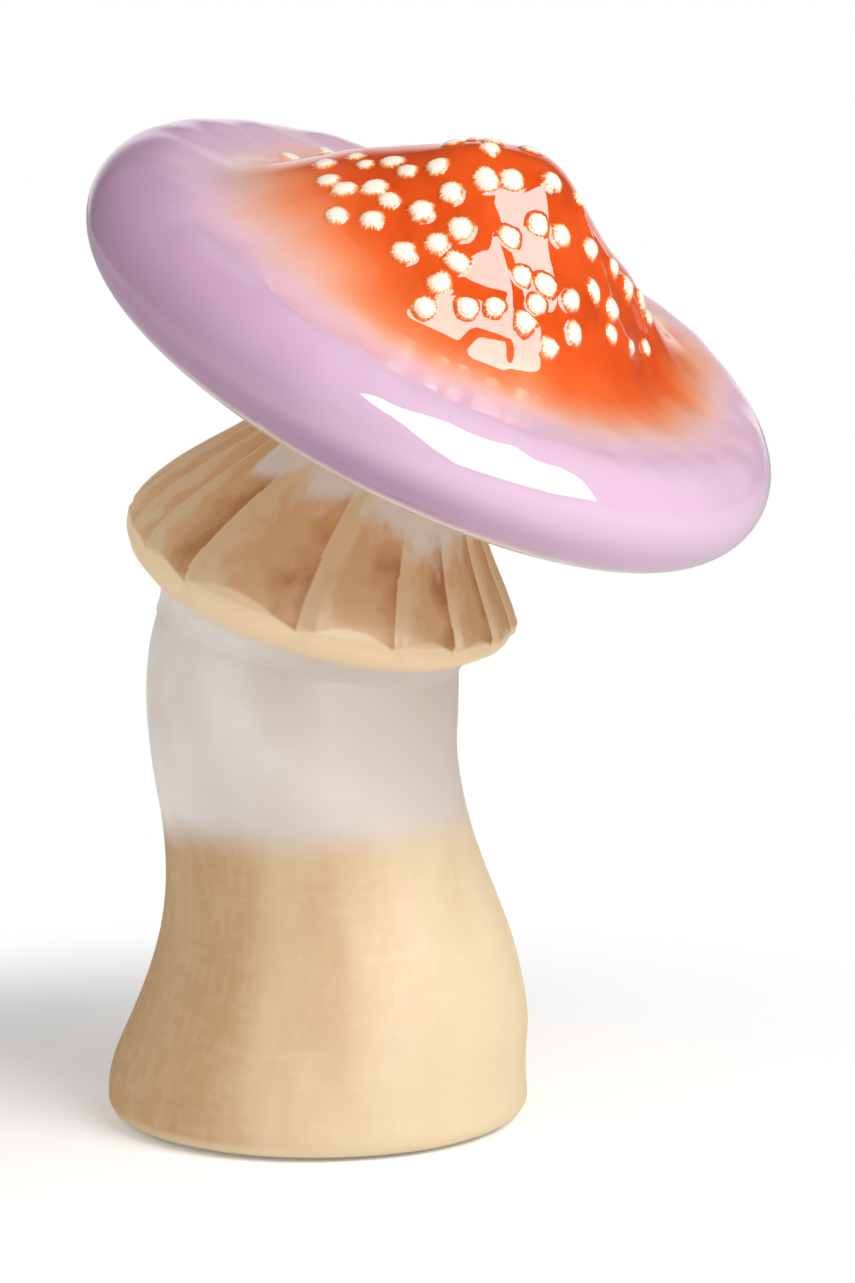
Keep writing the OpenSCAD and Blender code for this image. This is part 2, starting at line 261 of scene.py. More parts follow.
def finished(
    mesh: bmesh.types.BMesh, name: str, slot: Slot, material: bpy.types.Material
) -> bpy.types.Object:
    """Turns a form in millimetres into a piece of the figurine.

    Args:
        mesh: The form, in its place.
        name: The piece's name.
        slot: The record's slot for its finish; not used.
        material: Its material.

    Returns:
        The piece, riding on the figurine's body.
    """
    bmesh.ops.scale(mesh, vec=(MM, MM, MM), verts=mesh.verts)
    data = bpy.data.meshes.new(name)
    mesh.to_mesh(data)
    mesh.free()
    data.shade_smooth()
    data.materials.append(material)
    piece = bpy.data.objects.new(name, data)
    bpy.context.scene.collection.objects.link(piece)
    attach(piece, BODY)
    LOG.info("%s: %d faces", name, len(data.polygons))
    return piece


def add_node(
    tree: bpy.types.NodeTree,
    kind: str,
    inputs: Mapping[str, Feed] | Sequence[Feed] = (),
    stops: Iterable[tuple[float, str]] = (),
    **settings: object,
) -> bpy.types.Node:
    """Adds a node with its settings and its links.

    Args:
        tree: The material's or the world's node tree.
        kind: The node's Blender type.
        inputs: What feeds its inputs, by name, or in order over those that its
            settings leave in use. A node feeds its first output that is in use.
        stops: For a ramp, places from 0 to 1 with the hex colour at each.
        **settings: The node's own properties.

    Returns:
        The new node.
    """
    node = tree.nodes.new(kind)
    for name, value in settings.items():
        setattr(node, name, value)
    if isinstance(inputs, Mapping):
        fed = [(node.inputs[name], value) for name, value in inputs.items()]
    else:
        fed = list(zip([socket for socket in node.inputs if socket.enabled], inputs))
    for socket, value in fed:
        if isinstance(value, bpy.types.Node):
            value = next(output for output in value.outputs if output.enabled)
        if isinstance(value, bpy.types.NodeSocket):
            tree.links.new(value, socket)
        else:
            socket.default_value = value
    for index, (place, code) in enumerate(stops):
        elements = node.color_ramp.elements
        element = elements[index] if index < 2 else elements.new(place)
        element.position = place
        element.color = linear(code)
    return node


def swayed(
    tree: bpy.types.NodeTree,
    measure: Feed,
    place: Feed,
    size: float,
    swing: float,
    detail: float = 3.0,
    warp: float = 0.0,
) -> bpy.types.Node:
    """Moves a measure to and fro with soft clouds of a real size.

    Args:
        tree: The material's node tree.
        measure: The measure that is moved.
        place: Where on the piece, in metres.
        size: Size of the clouds, in millimetres.
        swing: How far the measure moves between the clouds and the gaps.
        detail: How many finer layers the clouds have.
        warp: How far the clouds are drawn out of shape.

    Returns:
        The node that gives the moved measure.
    """
    clouds = add_node(
        tree,
        "ShaderNodeTexNoise",
        {"Vector": place, "Scale": 1 / (size * MM), "Detail": detail, "Distortion": warp},
    )
    about_zero = add_node(tree, "ShaderNodeMath", (clouds, 0.5), operation="SUBTRACT")
    return add_node(
        tree, "ShaderNodeMath", (about_zero, swing, measure), operation="MULTIPLY_ADD"
    )


def laid_over(
    tree: bpy.types.NodeTree,
    under: Feed,
    over: Feed,
    measure: Feed,
    marks: Sequence[float],
    shares: Sequence[float] = (0.0, 1.0),
) -> bpy.types.Node:
    """Lays one colour over another as a measure passes from one mark to the next.

    Args:
        tree: The material's node tree.
        under: The colour below.
        over: The colour that is laid over it.
        measure: The measure that the change follows.
        marks: Where the change starts and where it is complete.
        shares: How much of the upper colour shows at each mark.

    Returns:
        The node that gives the resulting colour.
    """
    share = add_node(tree, "ShaderNodeMapRange", (measure, *marks, *shares), **SMOOTH)
    return add_node(tree, "ShaderNodeMix", (share, under, over), data_type="RGBA")


def started(name: str) -> tuple[bpy.types.Material, bpy.types.NodeTree]:
    """Starts a material whose node tree is still empty.

    Args:
        name: The material's name, in plain words.

    Returns:
        The material and its node tree.
    """
    material = bpy.data.materials.new(name)
    material.use_nodes = True
    material.node_tree.nodes.clear()
    return material, material.node_tree


@dataclass(frozen=True)
class Glaze:
    """A clear glossy lead-free glaze over coloured slip, fired on earthenware.

    The glass layer is the shader's coat, which mirrors the studio sharply where it
    lies thick. The coloured slip under it is dull, so it adds no sheen of its own.
    """

    name: str
    coat: float = 1.0
    coat_roughness: float = 0.025
    coat_ior: float = 1.6
    slip_roughness: float = 0.6

    def fired(self, tree: bpy.types.NodeTree, slip: Feed, silky: Feed | None = None) -> None:
        """Lays the glass layer over the coloured slip, and ends the material.

        Args:
            tree: The material's node tree.
            slip: The slip's colour.
            silky: The roughness of the glass, where it changes from place to place.
        """
        shader = add_node(
            tree,
            "ShaderNodeBsdfPrincipled",
            {
                "Base Color": slip,
                "Roughness": self.slip_roughness,
                "Specular IOR Level": 0.0,
                "Coat Weight": self.coat,
                "Coat Roughness": self.coat_roughness if silky is None else silky,
                "Coat IOR": self.coat_ior,
            },
        )
        add_node(tree, "ShaderNodeOutputMaterial", {"Surface": shader})


@dataclass(frozen=True)
class Lean:
    """How an axis tips away from upright: by how much, and which way, in degrees."""

    lean: float
    turn: float

    @property
    def rotation(self) -> Quaternion:
        """The turn that tips an upright axis over."""
        turn = math.radians(self.turn)
        return Quaternion((math.sin(turn), math.cos(turn), 0), math.radians(self.lean))

    @property
    def axis(self) -> Vector:
        """The leaning axis itself."""
        return self.rotation @ Vector((0, 0, 1))

    def towards(self, other: Lean, share: float) -> Lean:
        """Finds a lean part of the way to another.

        Args:
            other: The lean at the end of the way.
            share: How far along the way, from 0 to 1.

        Returns:
            The lean there.
        """
        return Lean(
            self.lean + (other.lean - self.lean) * share,
            self.turn + (other.turn - self.turn) * share,
        )


@dataclass(frozen=True)
class Lump:
    """A rounded swelling or dent of the boss, in shares of the cap's radius."""

    right: float
    away: float
    reach: float
    rise: float


@dataclass(frozen=True)
class Ridge:
    """A run of glaze down the boss, from one point to another, in shares of the cap's radius."""

    start: Spot
    end: Spot
    reach: float
    rise: float


@dataclass(frozen=True)
class Reach:
    """How far the boss reaches from its middle to each side, in shares of the cap's radius."""

    left: float
    right: float
    front: float
    back: float

    def share(self, right: float, away: float) -> float:
        """Measures how far out a place is.

        Args:
            right: Its place to the right of the boss's middle.
            away: Its place away from the viewer.

        Returns:
            0 at the middle and 1 at the boss's foot.
        """
        across = right / (self.left if right < 0 else self.right)
        along = away / (self.front if away < 0 else self.back)
        return math.hypot(across, along)


@dataclass
class CapForm:
    """The cap's shape and place, which its crown, its underside and its dots share."""

    radius: float = 73.0
    rim: float = 11.5
    middle: Vector = field(default_factory=lambda: Vector((23.0, -12.5, 158.5)))
    lean: Lean = Lean(29.0, 26.5)
    dome: float = 3.5
    wall: float = 5.0
    collar_depth: float = 14.0
    collar_radius: float = 20.0
    seam_angle: float = 62.0
    boss: float = 27.0
    boss_reach: Reach = Reach(left=0.795, right=0.534, front=0.521, back=0.603)
    boss_place: Spot = (0.027, -0.082)
    boss_tip: float = 0.36
    boss_foot: float = 0.06
    lump_rise: float = 1.8
    swell_end: float = 3.0
    ripple: float = 0.20
    ripple_size: float = 9.0
    ripple_gain: float = 0.9
    ripple_rim: Spot = (0.60, 0.85)
    slope_step: float = 0.5
    lumps: tuple[Lump, ...] = (
        Lump(-0.14, -0.08, 0.10, 0.4),
        Lump(-0.05, 0.03, 0.11, 0.7),
        Lump(0.05, -0.14, 0.09, 0.8),
        Lump(0.16, -0.01, 0.14, 0.7),
        Lump(0.08, 0.14, 0.16, 1.6),
        Lump(0.32, 0.04, 0.10, 0.4),
        Lump(0.44, 0.21, 0.15, 4.0),
        Lump(-0.24, 0.06, 0.12, 0.3),
        Lump(-0.20, 0.26, 0.11, 0.7),
        Lump(-0.40, 0.10, 0.10, 0.5),
        Lump(-0.06, -0.40, 0.10, 0.4),
        Lump(0.26, -0.30, 0.10, 0.6),
        Lump(0.44, 0.06, 0.15, 1.5),
        Lump(0.46, -0.16, 0.10, 0.5),
        Lump(0.56, 0.48, 0.26, 0.9),
        Lump(-0.34, 0.66, 0.26, 0.6),
    )
    ridges: tuple[Ridge, ...] = (
        Ridge((-0.140, -0.493), (0.190, -0.445), 0.031, 0.75),
        Ridge((0.190, -0.445), (0.320, -0.380), 0.028, 0.45),
        Ridge((-0.071, -0.285), (0.085, -0.420), 0.026, 0.62),
        Ridge((0.050, -0.532), (0.120, -0.514), 0.022, 0.70),
        Ridge((-0.140, -0.160), (-0.130, -0.160), 0.100, 1.60),
        Ridge((0.181, -0.085), (0.343, -0.139), 0.022, 0.42),
        Ridge((0.270, -0.072), (0.495, 0.070), 0.022, 0.50),
        Ridge((0.327, -0.174), (0.452, -0.147), 0.020, 0.40),
    )

    @property
    def rim_centre(self) -> float:
        """Radius of the circle at the middle of the rounded rim."""
        return self.radius - self.rim

    @property
    def collar(self) -> Vector:
        """The middle of the flat collar that the skirt meets."""
        return self.middle - self.collar_depth * self.lean.axis

    def set_in(self, point: Vector) -> Vector:
        """Takes a point from the cap's own frame to the figurine's."""
        return self.middle + self.lean.rotation @ point

    def taken_out(self, point: Vector) -> Vector:
        """Takes a point from the figurine's frame to the cap's own."""
        return self.lean.rotation.inverted() @ (point - self.middle)

    def cone(self, distance: float) -> float:
        """A cone with a rounded tip, which is 1 there and ends softly at a distance of 1."""
        rise = soft(1 - math.hypot(distance, self.boss_tip), self.boss_foot)
        return rise / soft(1 - self.boss_tip, self.boss_foot)

    def boss_rise(self, x: float, y: float, lumpy: bool = True) -> float:
        """Works out how far the boss rises over the cap's top.

        Args:
            x: The place to the right of the cap's middle.
            y: The place away from the viewer.
            lumpy: Whether its lumps, ridges and ripples are counted.

        Returns:
            The rise.
        """
        right, away = x / self.radius, y / self.radius
        out = self.boss_reach.share(right - self.boss_place[0], away - self.boss_place[1])
        rise = self.boss * self.cone(out)
        if not lumpy:
            return rise
        for lump in self.lumps:
            distance = math.hypot(right - lump.right, away - lump.away)
            if distance < self.swell_end * lump.reach:
                rise += self.lump_rise * lump.rise * hill(distance, lump.reach)
        for ridge in self.ridges:
            distance = to_segment(right, away, ridge.start, ridge.end)
            if distance < self.swell_end * ridge.reach:
                rise += self.lump_rise * ridge.rise * hill(distance, ridge.reach)
        on_rim = smooth(*self.ripple_rim, math.hypot(right, away))
        ripples = noise.noise(Vector((x, y, 0)) / self.ripple_size)
        return rise + self.ripple * ripples * (1 + self.ripple_gain * on_rim)

    def height(self, x: float, y: float, lumpy: bool = True) -> float:
        """Works out the height of the cap's top over the middle of its rim.

        Args:
            x: The place to the right of the cap's middle.
            y: The place away from the viewer.
            lumpy: Whether the boss's lumps, ridges and ripples are counted.

        Returns:
            The height.
        """
        reach = math.hypot(x, y)
        if reach <= self.rim_centre:
            dome = self.dome * (1 - ease(reach / self.rim_centre))
            return self.rim + dome + self.boss_rise(x, y, lumpy)
        out = min(self.rim, reach - self.rim_centre)
        up = math.sqrt(self.rim**2 - out**2)
        return up + up / self.rim * self.boss_rise(x, y, lumpy)

    def upright(self, x: float, y: float) -> Vector:
        """Finds the direction square to the cap's top.

        Args:
            x: The place to the right of the cap's middle.
            y: The place away from the viewer.

        Returns:
            The direction, in the cap's own frame.
        """
        step = self.slope_step
        slope_x = (self.height(x + step, y) - self.height(x - step, y)) / (2 * step)
        slope_y = (self.height(x, y + step) - self.height(x, y - step)) / (2 * step)
        return Vector((-slope_x, -slope_y, 1)).normalized()


@dataclass(frozen=True)
class CapGlaze(Glaze):
    """Lilac glaze that runs through peach into orange iron glaze on the boss.

    The two glazes melt into each other over a centimetre or more, and the glass is
    silkier there. The orange goes deeper where it pools. The lilac is painted darker
    to plum as shade, partly the glaze's own darker tone: towards the left, the side away
    from the key light, and under the lower rim. It breaks to bare cream along the lower
    rim. The rings' marks are shares of the cap's radius, those of the painted shade under
    the rim and of the lip are shares of its rim, and the rest is in millimetres.
    """

    orange: str = "#E6561B"
    deep_orange: str = "#CB430C"
    lilac: str = "#E1BED6"
    # The plum of the painted shade, partly the glaze's own darker tone.
    plum: str = "#BE94B4"
    cream: str = "#F3E6D8"
    blend: tuple[tuple[float, str], ...] = (
        (0.57, "#EE6A33"),
        (0.63, "#F48E5F"),
        (0.68, "#F2AB8E"),
        (0.73, "#EEBDB6"),
        (0.79, "#E8C1CF"),
    )
    orange_end: float = 0.50
    lilac_start: float = 0.90
    halo: Spot = (5.5, 2.0)
    wobble: float = 17.0
    wobble_size: float = 38.0
    runs: float = 5.0
    runs_round: float = 5.0
    melting_starts: Spot = (0.61, 0.72)
    melting_ends: Spot = (0.94, 0.70)
    melted_roughness: float = 0.27
    pool_size: float = 12.0
    pool_marks: Spot = (0.45, 0.72)
    pool_inside: Spot = (0.62, 0.42)
    pool_share: float = 0.7
    # Painted shade: the lilac darkens to plum towards the left, away from the key light, and under
    # the lower rim.
    plum_size: float = 24.0
    plum_swing: float = 20.0
    plum_outside: Spot = (0.82, 1.0)
    plum_marks: Spot = (20.0, 74.0)
    plum_share: float = 0.7
    sag: Spot = (0.10, -0.50)
    rim_shade_marks: Spot = (-30.0, 40.0)
    rim_shade_share: float = 0.25
    lip_size: float = 7.0
    lip_swing: float = 1.6
    lip: Spot = (-0.66, -0.84)

    def colour(
        self, tree: bpy.types.NodeTree, cap: CapForm
    ) -> tuple[bpy.types.Node, bpy.types.Node]:
        """Works out the glaze's colour at each place of the cap, and how silky it is.

        Args:
            tree: The material's node tree.
            cap: The cap that the pattern is centred on.

        Returns:
            The nodes that give the colour and the roughness of the glass.
        """
        place = add_node(tree, "ShaderNodeTexCoord").outputs["Object"]
        own = add_node(
            tree,
            "ShaderNodeMapping",
            {
                "Vector": place,
                "Location": cap.middle * MM,
                "Rotation": cap.lean.rotation.to_euler(),
            },
            vector_type="TEXTURE",
        )
        right, away, up = add_node(tree, "ShaderNodeSeparateXYZ", (own,)).outputs
        reach, edge = self.melting(tree, own, right, away)
        glow = self.glowing(tree, own, edge, cap.radius * MM)
        # Painted shade: plum over the lilac on the side away from the key light and under the rim,
        # partly the glaze's own tone.
        plum = self.shade_to_plum(tree, own, (right, away, up), edge, cap)
        glaze = add_node(
            tree, "ShaderNodeMix", (plum, glow, linear(self.plum)), data_type="RGBA"
        )
        lip = swayed(tree, up, own, self.lip_size, self.lip_swing * MM)
        marks = [mark * cap.rim * MM for mark in self.lip]
        colour = laid_over(tree, glaze, linear(self.cream), lip, marks)
        return colour, self.silkiness(tree, reach, edge, cap.radius * MM)

    def melting(
        self, tree: bpy.types.NodeTree, own: Feed, right: Feed, away: Feed
    ) -> tuple[bpy.types.Node, bpy.types.Node]:
        """Measures how far out a place lies, plainly and along the glaze's uneven edge.

        Args:
            tree: The material's node tree.
            own: Places in the cap's own frame.
            right: How far each lies to the right.
            away: How far it lies away from the viewer.

        Returns:
            The nodes that give the plain reach and the uneven one.
        """
        offsets = [
            add_node(tree, "ShaderNodeMath", (side, start * MM), operation="SUBTRACT")
            for side, start in zip((right, away), self.halo)
        ]
        level = add_node(tree, "ShaderNodeCombineXYZ", offsets)
        reach = add_node(tree, "ShaderNodeVectorMath", (level,), operation="LENGTH")
        edge = swayed(tree, reach, own, self.wobble_size, self.wobble * MM, detail=2.0)
        outward = add_node(tree, "ShaderNodeVectorMath", (level,), operation="NORMALIZE")
        fingers = add_node(
            tree,
            "ShaderNodeTexNoise",
            {"Vector": outward, "Scale": self.runs_round, "Detail": 2.0},
        )
        about_zero = add_node(tree, "ShaderNodeMath", (fingers, 0.5), operation="SUBTRACT")
        run_out = add_node(
            tree, "ShaderNodeMath", (about_zero, self.runs * MM, edge), operation="MULTIPLY_ADD"
        )
        return reach, run_out

    def silkiness(
        self, tree: bpy.types.NodeTree, reach: Feed, edge: Feed, radius: float
    ) -> bpy.types.Node:
        """Makes the glass silkier in the ring where the two glazes melt together.

        Args:
            tree: The material's node tree.
            reach: How far out a place lies.
            edge: The same along the glaze's uneven edge.
            radius: The cap's radius, in metres.

        Returns:
            The node that gives the roughness of the glass.
        """
        begun, not_ended = (
            add_node(
                tree,
                "ShaderNodeMapRange",
                (measure, *(mark * radius for mark in marks)),
                **SMOOTH,
            )
            for measure, marks in ((reach, self.melting_starts), (edge, self.melting_ends))
        )
        melted = add_node(tree, "ShaderNodeMath", (begun, not_ended), operation="MULTIPLY")
        return add_node(
            tree,
            "ShaderNodeMapRange",
            (melted, 0.0, 1.0, self.coat_roughness, self.melted_roughness),
            **SMOOTH,
        )

    def glowing(
        self, tree: bpy.types.NodeTree, own: Feed, edge: Feed, radius: float
    ) -> bpy.types.Node:
        """Runs the orange out through peach into lilac, with deeper pools in it.

        Args:
            tree: The material's node tree.
            own: Places in the cap's own frame.
            edge: How far out a place lies along the glaze's uneven edge.
            radius: The cap's radius, in metres.

        Returns:
            The node that gives the colour.
        """
        ramp = add_node(
            tree,
            "ShaderNodeValToRGB",
            (add_node(tree, "ShaderNodeMath", (edge, radius), operation="DIVIDE"),),
            stops=(
                (0.0, self.orange),
                (self.orange_end, self.orange),
                *self.blend,
                (self.lilac_start, self.lilac),
                (1.0, self.lilac),
            ),
        )
        clouds = add_node(
            tree,
            "ShaderNodeTexNoise",
            {"Vector": own, "Scale": 1 / (self.pool_size * MM), "Detail": 3.0, "Distortion": 0.4},
        )
        pools = add_node(
            tree, "ShaderNodeMapRange", (clouds, *self.pool_marks, 0.0, self.pool_share), **SMOOTH
        )
        marks = [mark * radius for mark in self.pool_inside]
        inside = add_node(tree, "ShaderNodeMapRange", (edge, *marks), **SMOOTH)
        pooled = add_node(tree, "ShaderNodeMath", (pools, inside), operation="MULTIPLY")
        deep = linear(self.deep_orange)
        return add_node(tree, "ShaderNodeMix", (pooled, ramp, deep), data_type="RGBA")

    def shade_to_plum(
        self,
        tree: bpy.types.NodeTree,
        own: Feed,
        sides: tuple[Feed, Feed, Feed],
        edge: Feed,
        cap: CapForm,
    ) -> bpy.types.Node:
        """Finds where the lilac is painted darker to plum as shade, partly its own darker tone:
        towards the left, away from the key light, and under the lower rim.

        Args:
            tree: The material's node tree.
            own: Places in the cap's own frame.
            sides: How far each lies to the right, away and up.
            edge: How far out it lies along the glaze's uneven edge.
            cap: The cap.

        Returns:
            The node that gives the share of plum.
        """
        right, away, up = sides
        # The left side, away from the key light, and the underside of the lower rim take the
        # painted shade.
        left = add_node(tree, "ShaderNodeMath", (right, -1.0), operation="MULTIPLY")
        shade_side = add_node(tree, "ShaderNodeMath", (away, -0.35, left), operation="MULTIPLY_ADD")
        shade_side = swayed(tree, shade_side, own, self.plum_size, self.plum_swing * MM, warp=0.5)
        outside, toward_shade_side, under_rim, rim_shade_weight = (
            add_node(
                tree,
                "ShaderNodeMapRange",
                (measure, *(mark * length * MM for mark in marks), *shares),
                **SMOOTH,
            )
            for measure, marks, length, shares in (
                (edge, self.plum_outside, cap.radius, (0.0, 1.0)),
                (shade_side, self.plum_marks, 1.0, (0.0, self.plum_share)),
                (up, self.sag, cap.rim, (0.0, 1.0)),
                (shade_side, self.rim_shade_marks, 1.0, (self.rim_shade_share, 1.0)),
            )
        )
        plum_on_shade_side = add_node(tree, "ShaderNodeMath", (toward_shade_side, outside), operation="MULTIPLY")
        plum_under_rim = add_node(tree, "ShaderNodeMath", (under_rim, rim_shade_weight), operation="MULTIPLY")
        return add_node(tree, "ShaderNodeMath", (plum_on_shade_side, plum_under_rim), operation="MAXIMUM")

    def over(self, cap: CapForm) -> bpy.types.Material:
        """Makes the crown's material.

        Args:
            cap: The cap that the pattern is centred on.

        Returns:
            The material.
        """
        material, tree = started(self.name)
        self.fired(tree, *self.colour(tree, cap))
        return material


@dataclass(frozen=True)
class DotSlip(Glaze):
    """Thick creamy white slip, trailed on before the glaze.

    It stands up as a blob, and the glaze draws it out at its edge into fine
    spikes that sink into the colour round it.
    """

    white: str = "#FFF6E6"
    edge: str = "#FBB877"
    fringe_marks: Spot = (1.00, 0.84)
    white_marks: Spot = (0.83, 0.70)
    spikes: float = 7.0
    apart: float = 90.0
    ground: CapGlaze = CapGlaze("lilac and orange glaze under slip")

    def over(self, cap: CapForm) -> bpy.types.Material:
        """Makes the dots' material, which fades into the crown's own colour.

        Args:
            cap: The cap that the dots lie on.

        Returns:
            The material.
        """
        material, tree = started(self.name)
        flat = add_node(tree, "ShaderNodeUVMap", uv_map=SPREAD)
        reach = add_node(tree, "ShaderNodeVectorMath", (flat,), operation="LENGTH")
        outward = add_node(tree, "ShaderNodeVectorMath", (flat,), operation="NORMALIZE")
        place = add_node(tree, "ShaderNodeTexCoord").outputs["Object"]
        apart = add_node(
            tree, "ShaderNodeVectorMath", (place, [self.apart] * 3), operation="MULTIPLY"
        )
        seat = add_node(tree, "ShaderNodeVectorMath", (outward, apart), operation="ADD")
        spikes = add_node(
            tree,
            "ShaderNodeTexNoise",
            {"Vector": seat, "Scale": self.spikes, "Detail": 3.0, "Roughness": 0.7},
        )
        inward = add_node(tree, "ShaderNodeMath", (0.5, spikes), operation="SUBTRACT")
        drawn = add_node(tree, "ShaderNodeMath", (inward, reach), operation="ADD")
        ground, _ = self.ground.colour(tree, cap)
        fringe = laid_over(tree, ground, linear(self.edge), drawn, self.fringe_marks)
        self.fired(tree, laid_over(tree, fringe, linear(self.white), drawn, self.white_marks))
        return material


@dataclass(frozen=True)
class StemGlaze(Glaze):
    """Warm white glaze dipped from above, over a sand-coloured wash on the lower half.

    The two meet in a soft level band. The sand is brushed on in a weave of strokes,
    and it thins to a paler colour at the foot's edge. Over its own browner patches it is
    painted browner towards the left, the side away from the key light, as shade. The glaze
    is satin here, so the studio shows in it only as a soft sheen. The strokes are
    drawn two millimetres wide, a little coarser than a brush's hairs, so they show.
    """

    coat: float = 0.25
    coat_roughness: float = 0.42
    white: str = "#FAF3EC"
    grey: str = "#DDD0C6"
    sand: str = "#EAD4AF"
    brown_sand_and_shade: str = "#CBA576"
    pale_sand: str = "#F6E3BE"
    change_height: float = 61.0
    change_band: Spot = (-5.0, 5.5)
    change_swing: float = 9.0
    change_size: float = 40.0
    patch_size: float = 30.0
    patch_marks: Spot = (0.18, 0.84)
    stroke: float = 2.2
    strokes_drawn: tuple[tuple[float, float, float], ...] = ((0.3, 0.3, 1.0), (1.0, 1.0, 0.25))
    weave_marks: Spot = (0.85, 1.30)
    weave_share: float = 0.16
    thin_foot: Spot = (4.5, 1.5)
    thin_share: float = 0.75
    # Per millimetre to the side: how fast the painted shade browns the sand towards the left, and
    # the white greys towards the right.
    leftward: float = 0.011
    grey_marks: Spot = (0.05, 0.60)
    grey_share: float = 0.95

    def over(self) -> bpy.types.Material:
        """Makes the stem's material.

        Returns:
            The material.
        """
        material, tree = started(self.name)
        place = add_node(tree, "ShaderNodeTexCoord").outputs["Object"]
        right, _, height = add_node(tree, "ShaderNodeSeparateXYZ", (place,)).outputs
        sand = self.brushed(tree, place, right)
        foot = [mark * MM for mark in self.thin_foot]
        thin = (0.0, self.thin_share)
        sand = laid_over(tree, sand, linear(self.pale_sand), height, foot, thin)
        wave = swayed(tree, height, place, self.change_size, self.change_swing * MM, detail=2.0)
        band = [(self.change_height + side) * MM for side in self.change_band]
        self.fired(tree, laid_over(tree, sand, self.dipped(tree), wave, band))
        return material

    def brushed(self, tree: bpy.types.NodeTree, place: Feed, right: Feed) -> bpy.types.Node:
        """Brushes the sand wash on in a weave of strokes and browner patches, with painted shade
        browner towards the left.

        Args:
            tree: The material's node tree.
            place: Places on the stem.
            right: How far each lies to the right.

        Returns:
            The node that gives the sand's colour.
        """
        drawn_down = add_node(
            tree, "ShaderNodeMapping", {"Vector": place, "Scale": (1.0, 1.0, 0.35)}
        )
        patches = add_node(
            tree,
            "ShaderNodeTexNoise",
            {
                "Vector": drawn_down,
                "Scale": 1 / (self.patch_size * MM),
                "Detail": 2.0,
                "Distortion": 0.5,
            },
        )
        # Painted shade: the sand goes browner towards the left, away from the key light, on top of
        # its own browner patches.
        patches_and_shade = add_node(
            tree,
            "ShaderNodeMath",
            (right, -self.leftward / MM, patches),
            operation="MULTIPLY_ADD",
        )
        sand, brown = linear(self.sand), linear(self.brown_sand_and_shade)
        patched = laid_over(tree, sand, brown, patches_and_shade, self.patch_marks)
        round_and_down = [
            add_node(
                tree,
                "ShaderNodeTexNoise",
                {
                    "Vector": add_node(
                        tree, "ShaderNodeMapping", {"Vector": place, "Scale": shares}
                    ),
                    "Scale": 1 / (self.stroke * MM),
                    "Detail": 3.0,
                },
            )
            for shares in self.strokes_drawn
        ]
        weave = add_node(tree, "ShaderNodeMath", round_and_down, operation="ADD")
        pale, shares = linear(self.pale_sand), (0.0, self.weave_share)
        return laid_over(tree, patched, pale, weave, self.weave_marks, shares)

    def dipped(self, tree: bpy.types.NodeTree) -> bpy.types.Node:
        """Gives the colour of the dipped white, which is greyer where it lies thin.

        Args:
            tree: The material's node tree.

        Returns:
            The node that gives the colour.
        """
        place = add_node(tree, "ShaderNodeTexCoord").outputs["Object"]
        right = add_node(tree, "ShaderNodeSeparateXYZ", (place,)).outputs[0]
        clouds = add_node(
            tree,
            "ShaderNodeTexNoise",
            {"Vector": place, "Scale": 1 / (self.patch_size * MM), "Detail": 3.0},
        )
        greyer = add_node(
            tree, "ShaderNodeMath", (right, self.leftward / MM, clouds), operation="MULTIPLY_ADD"
        )
        white, grey, shares = linear(self.white), linear(self.grey), (0.0, self.grey_share)
        return laid_over(tree, white, grey, greyer, self.grey_marks, shares)


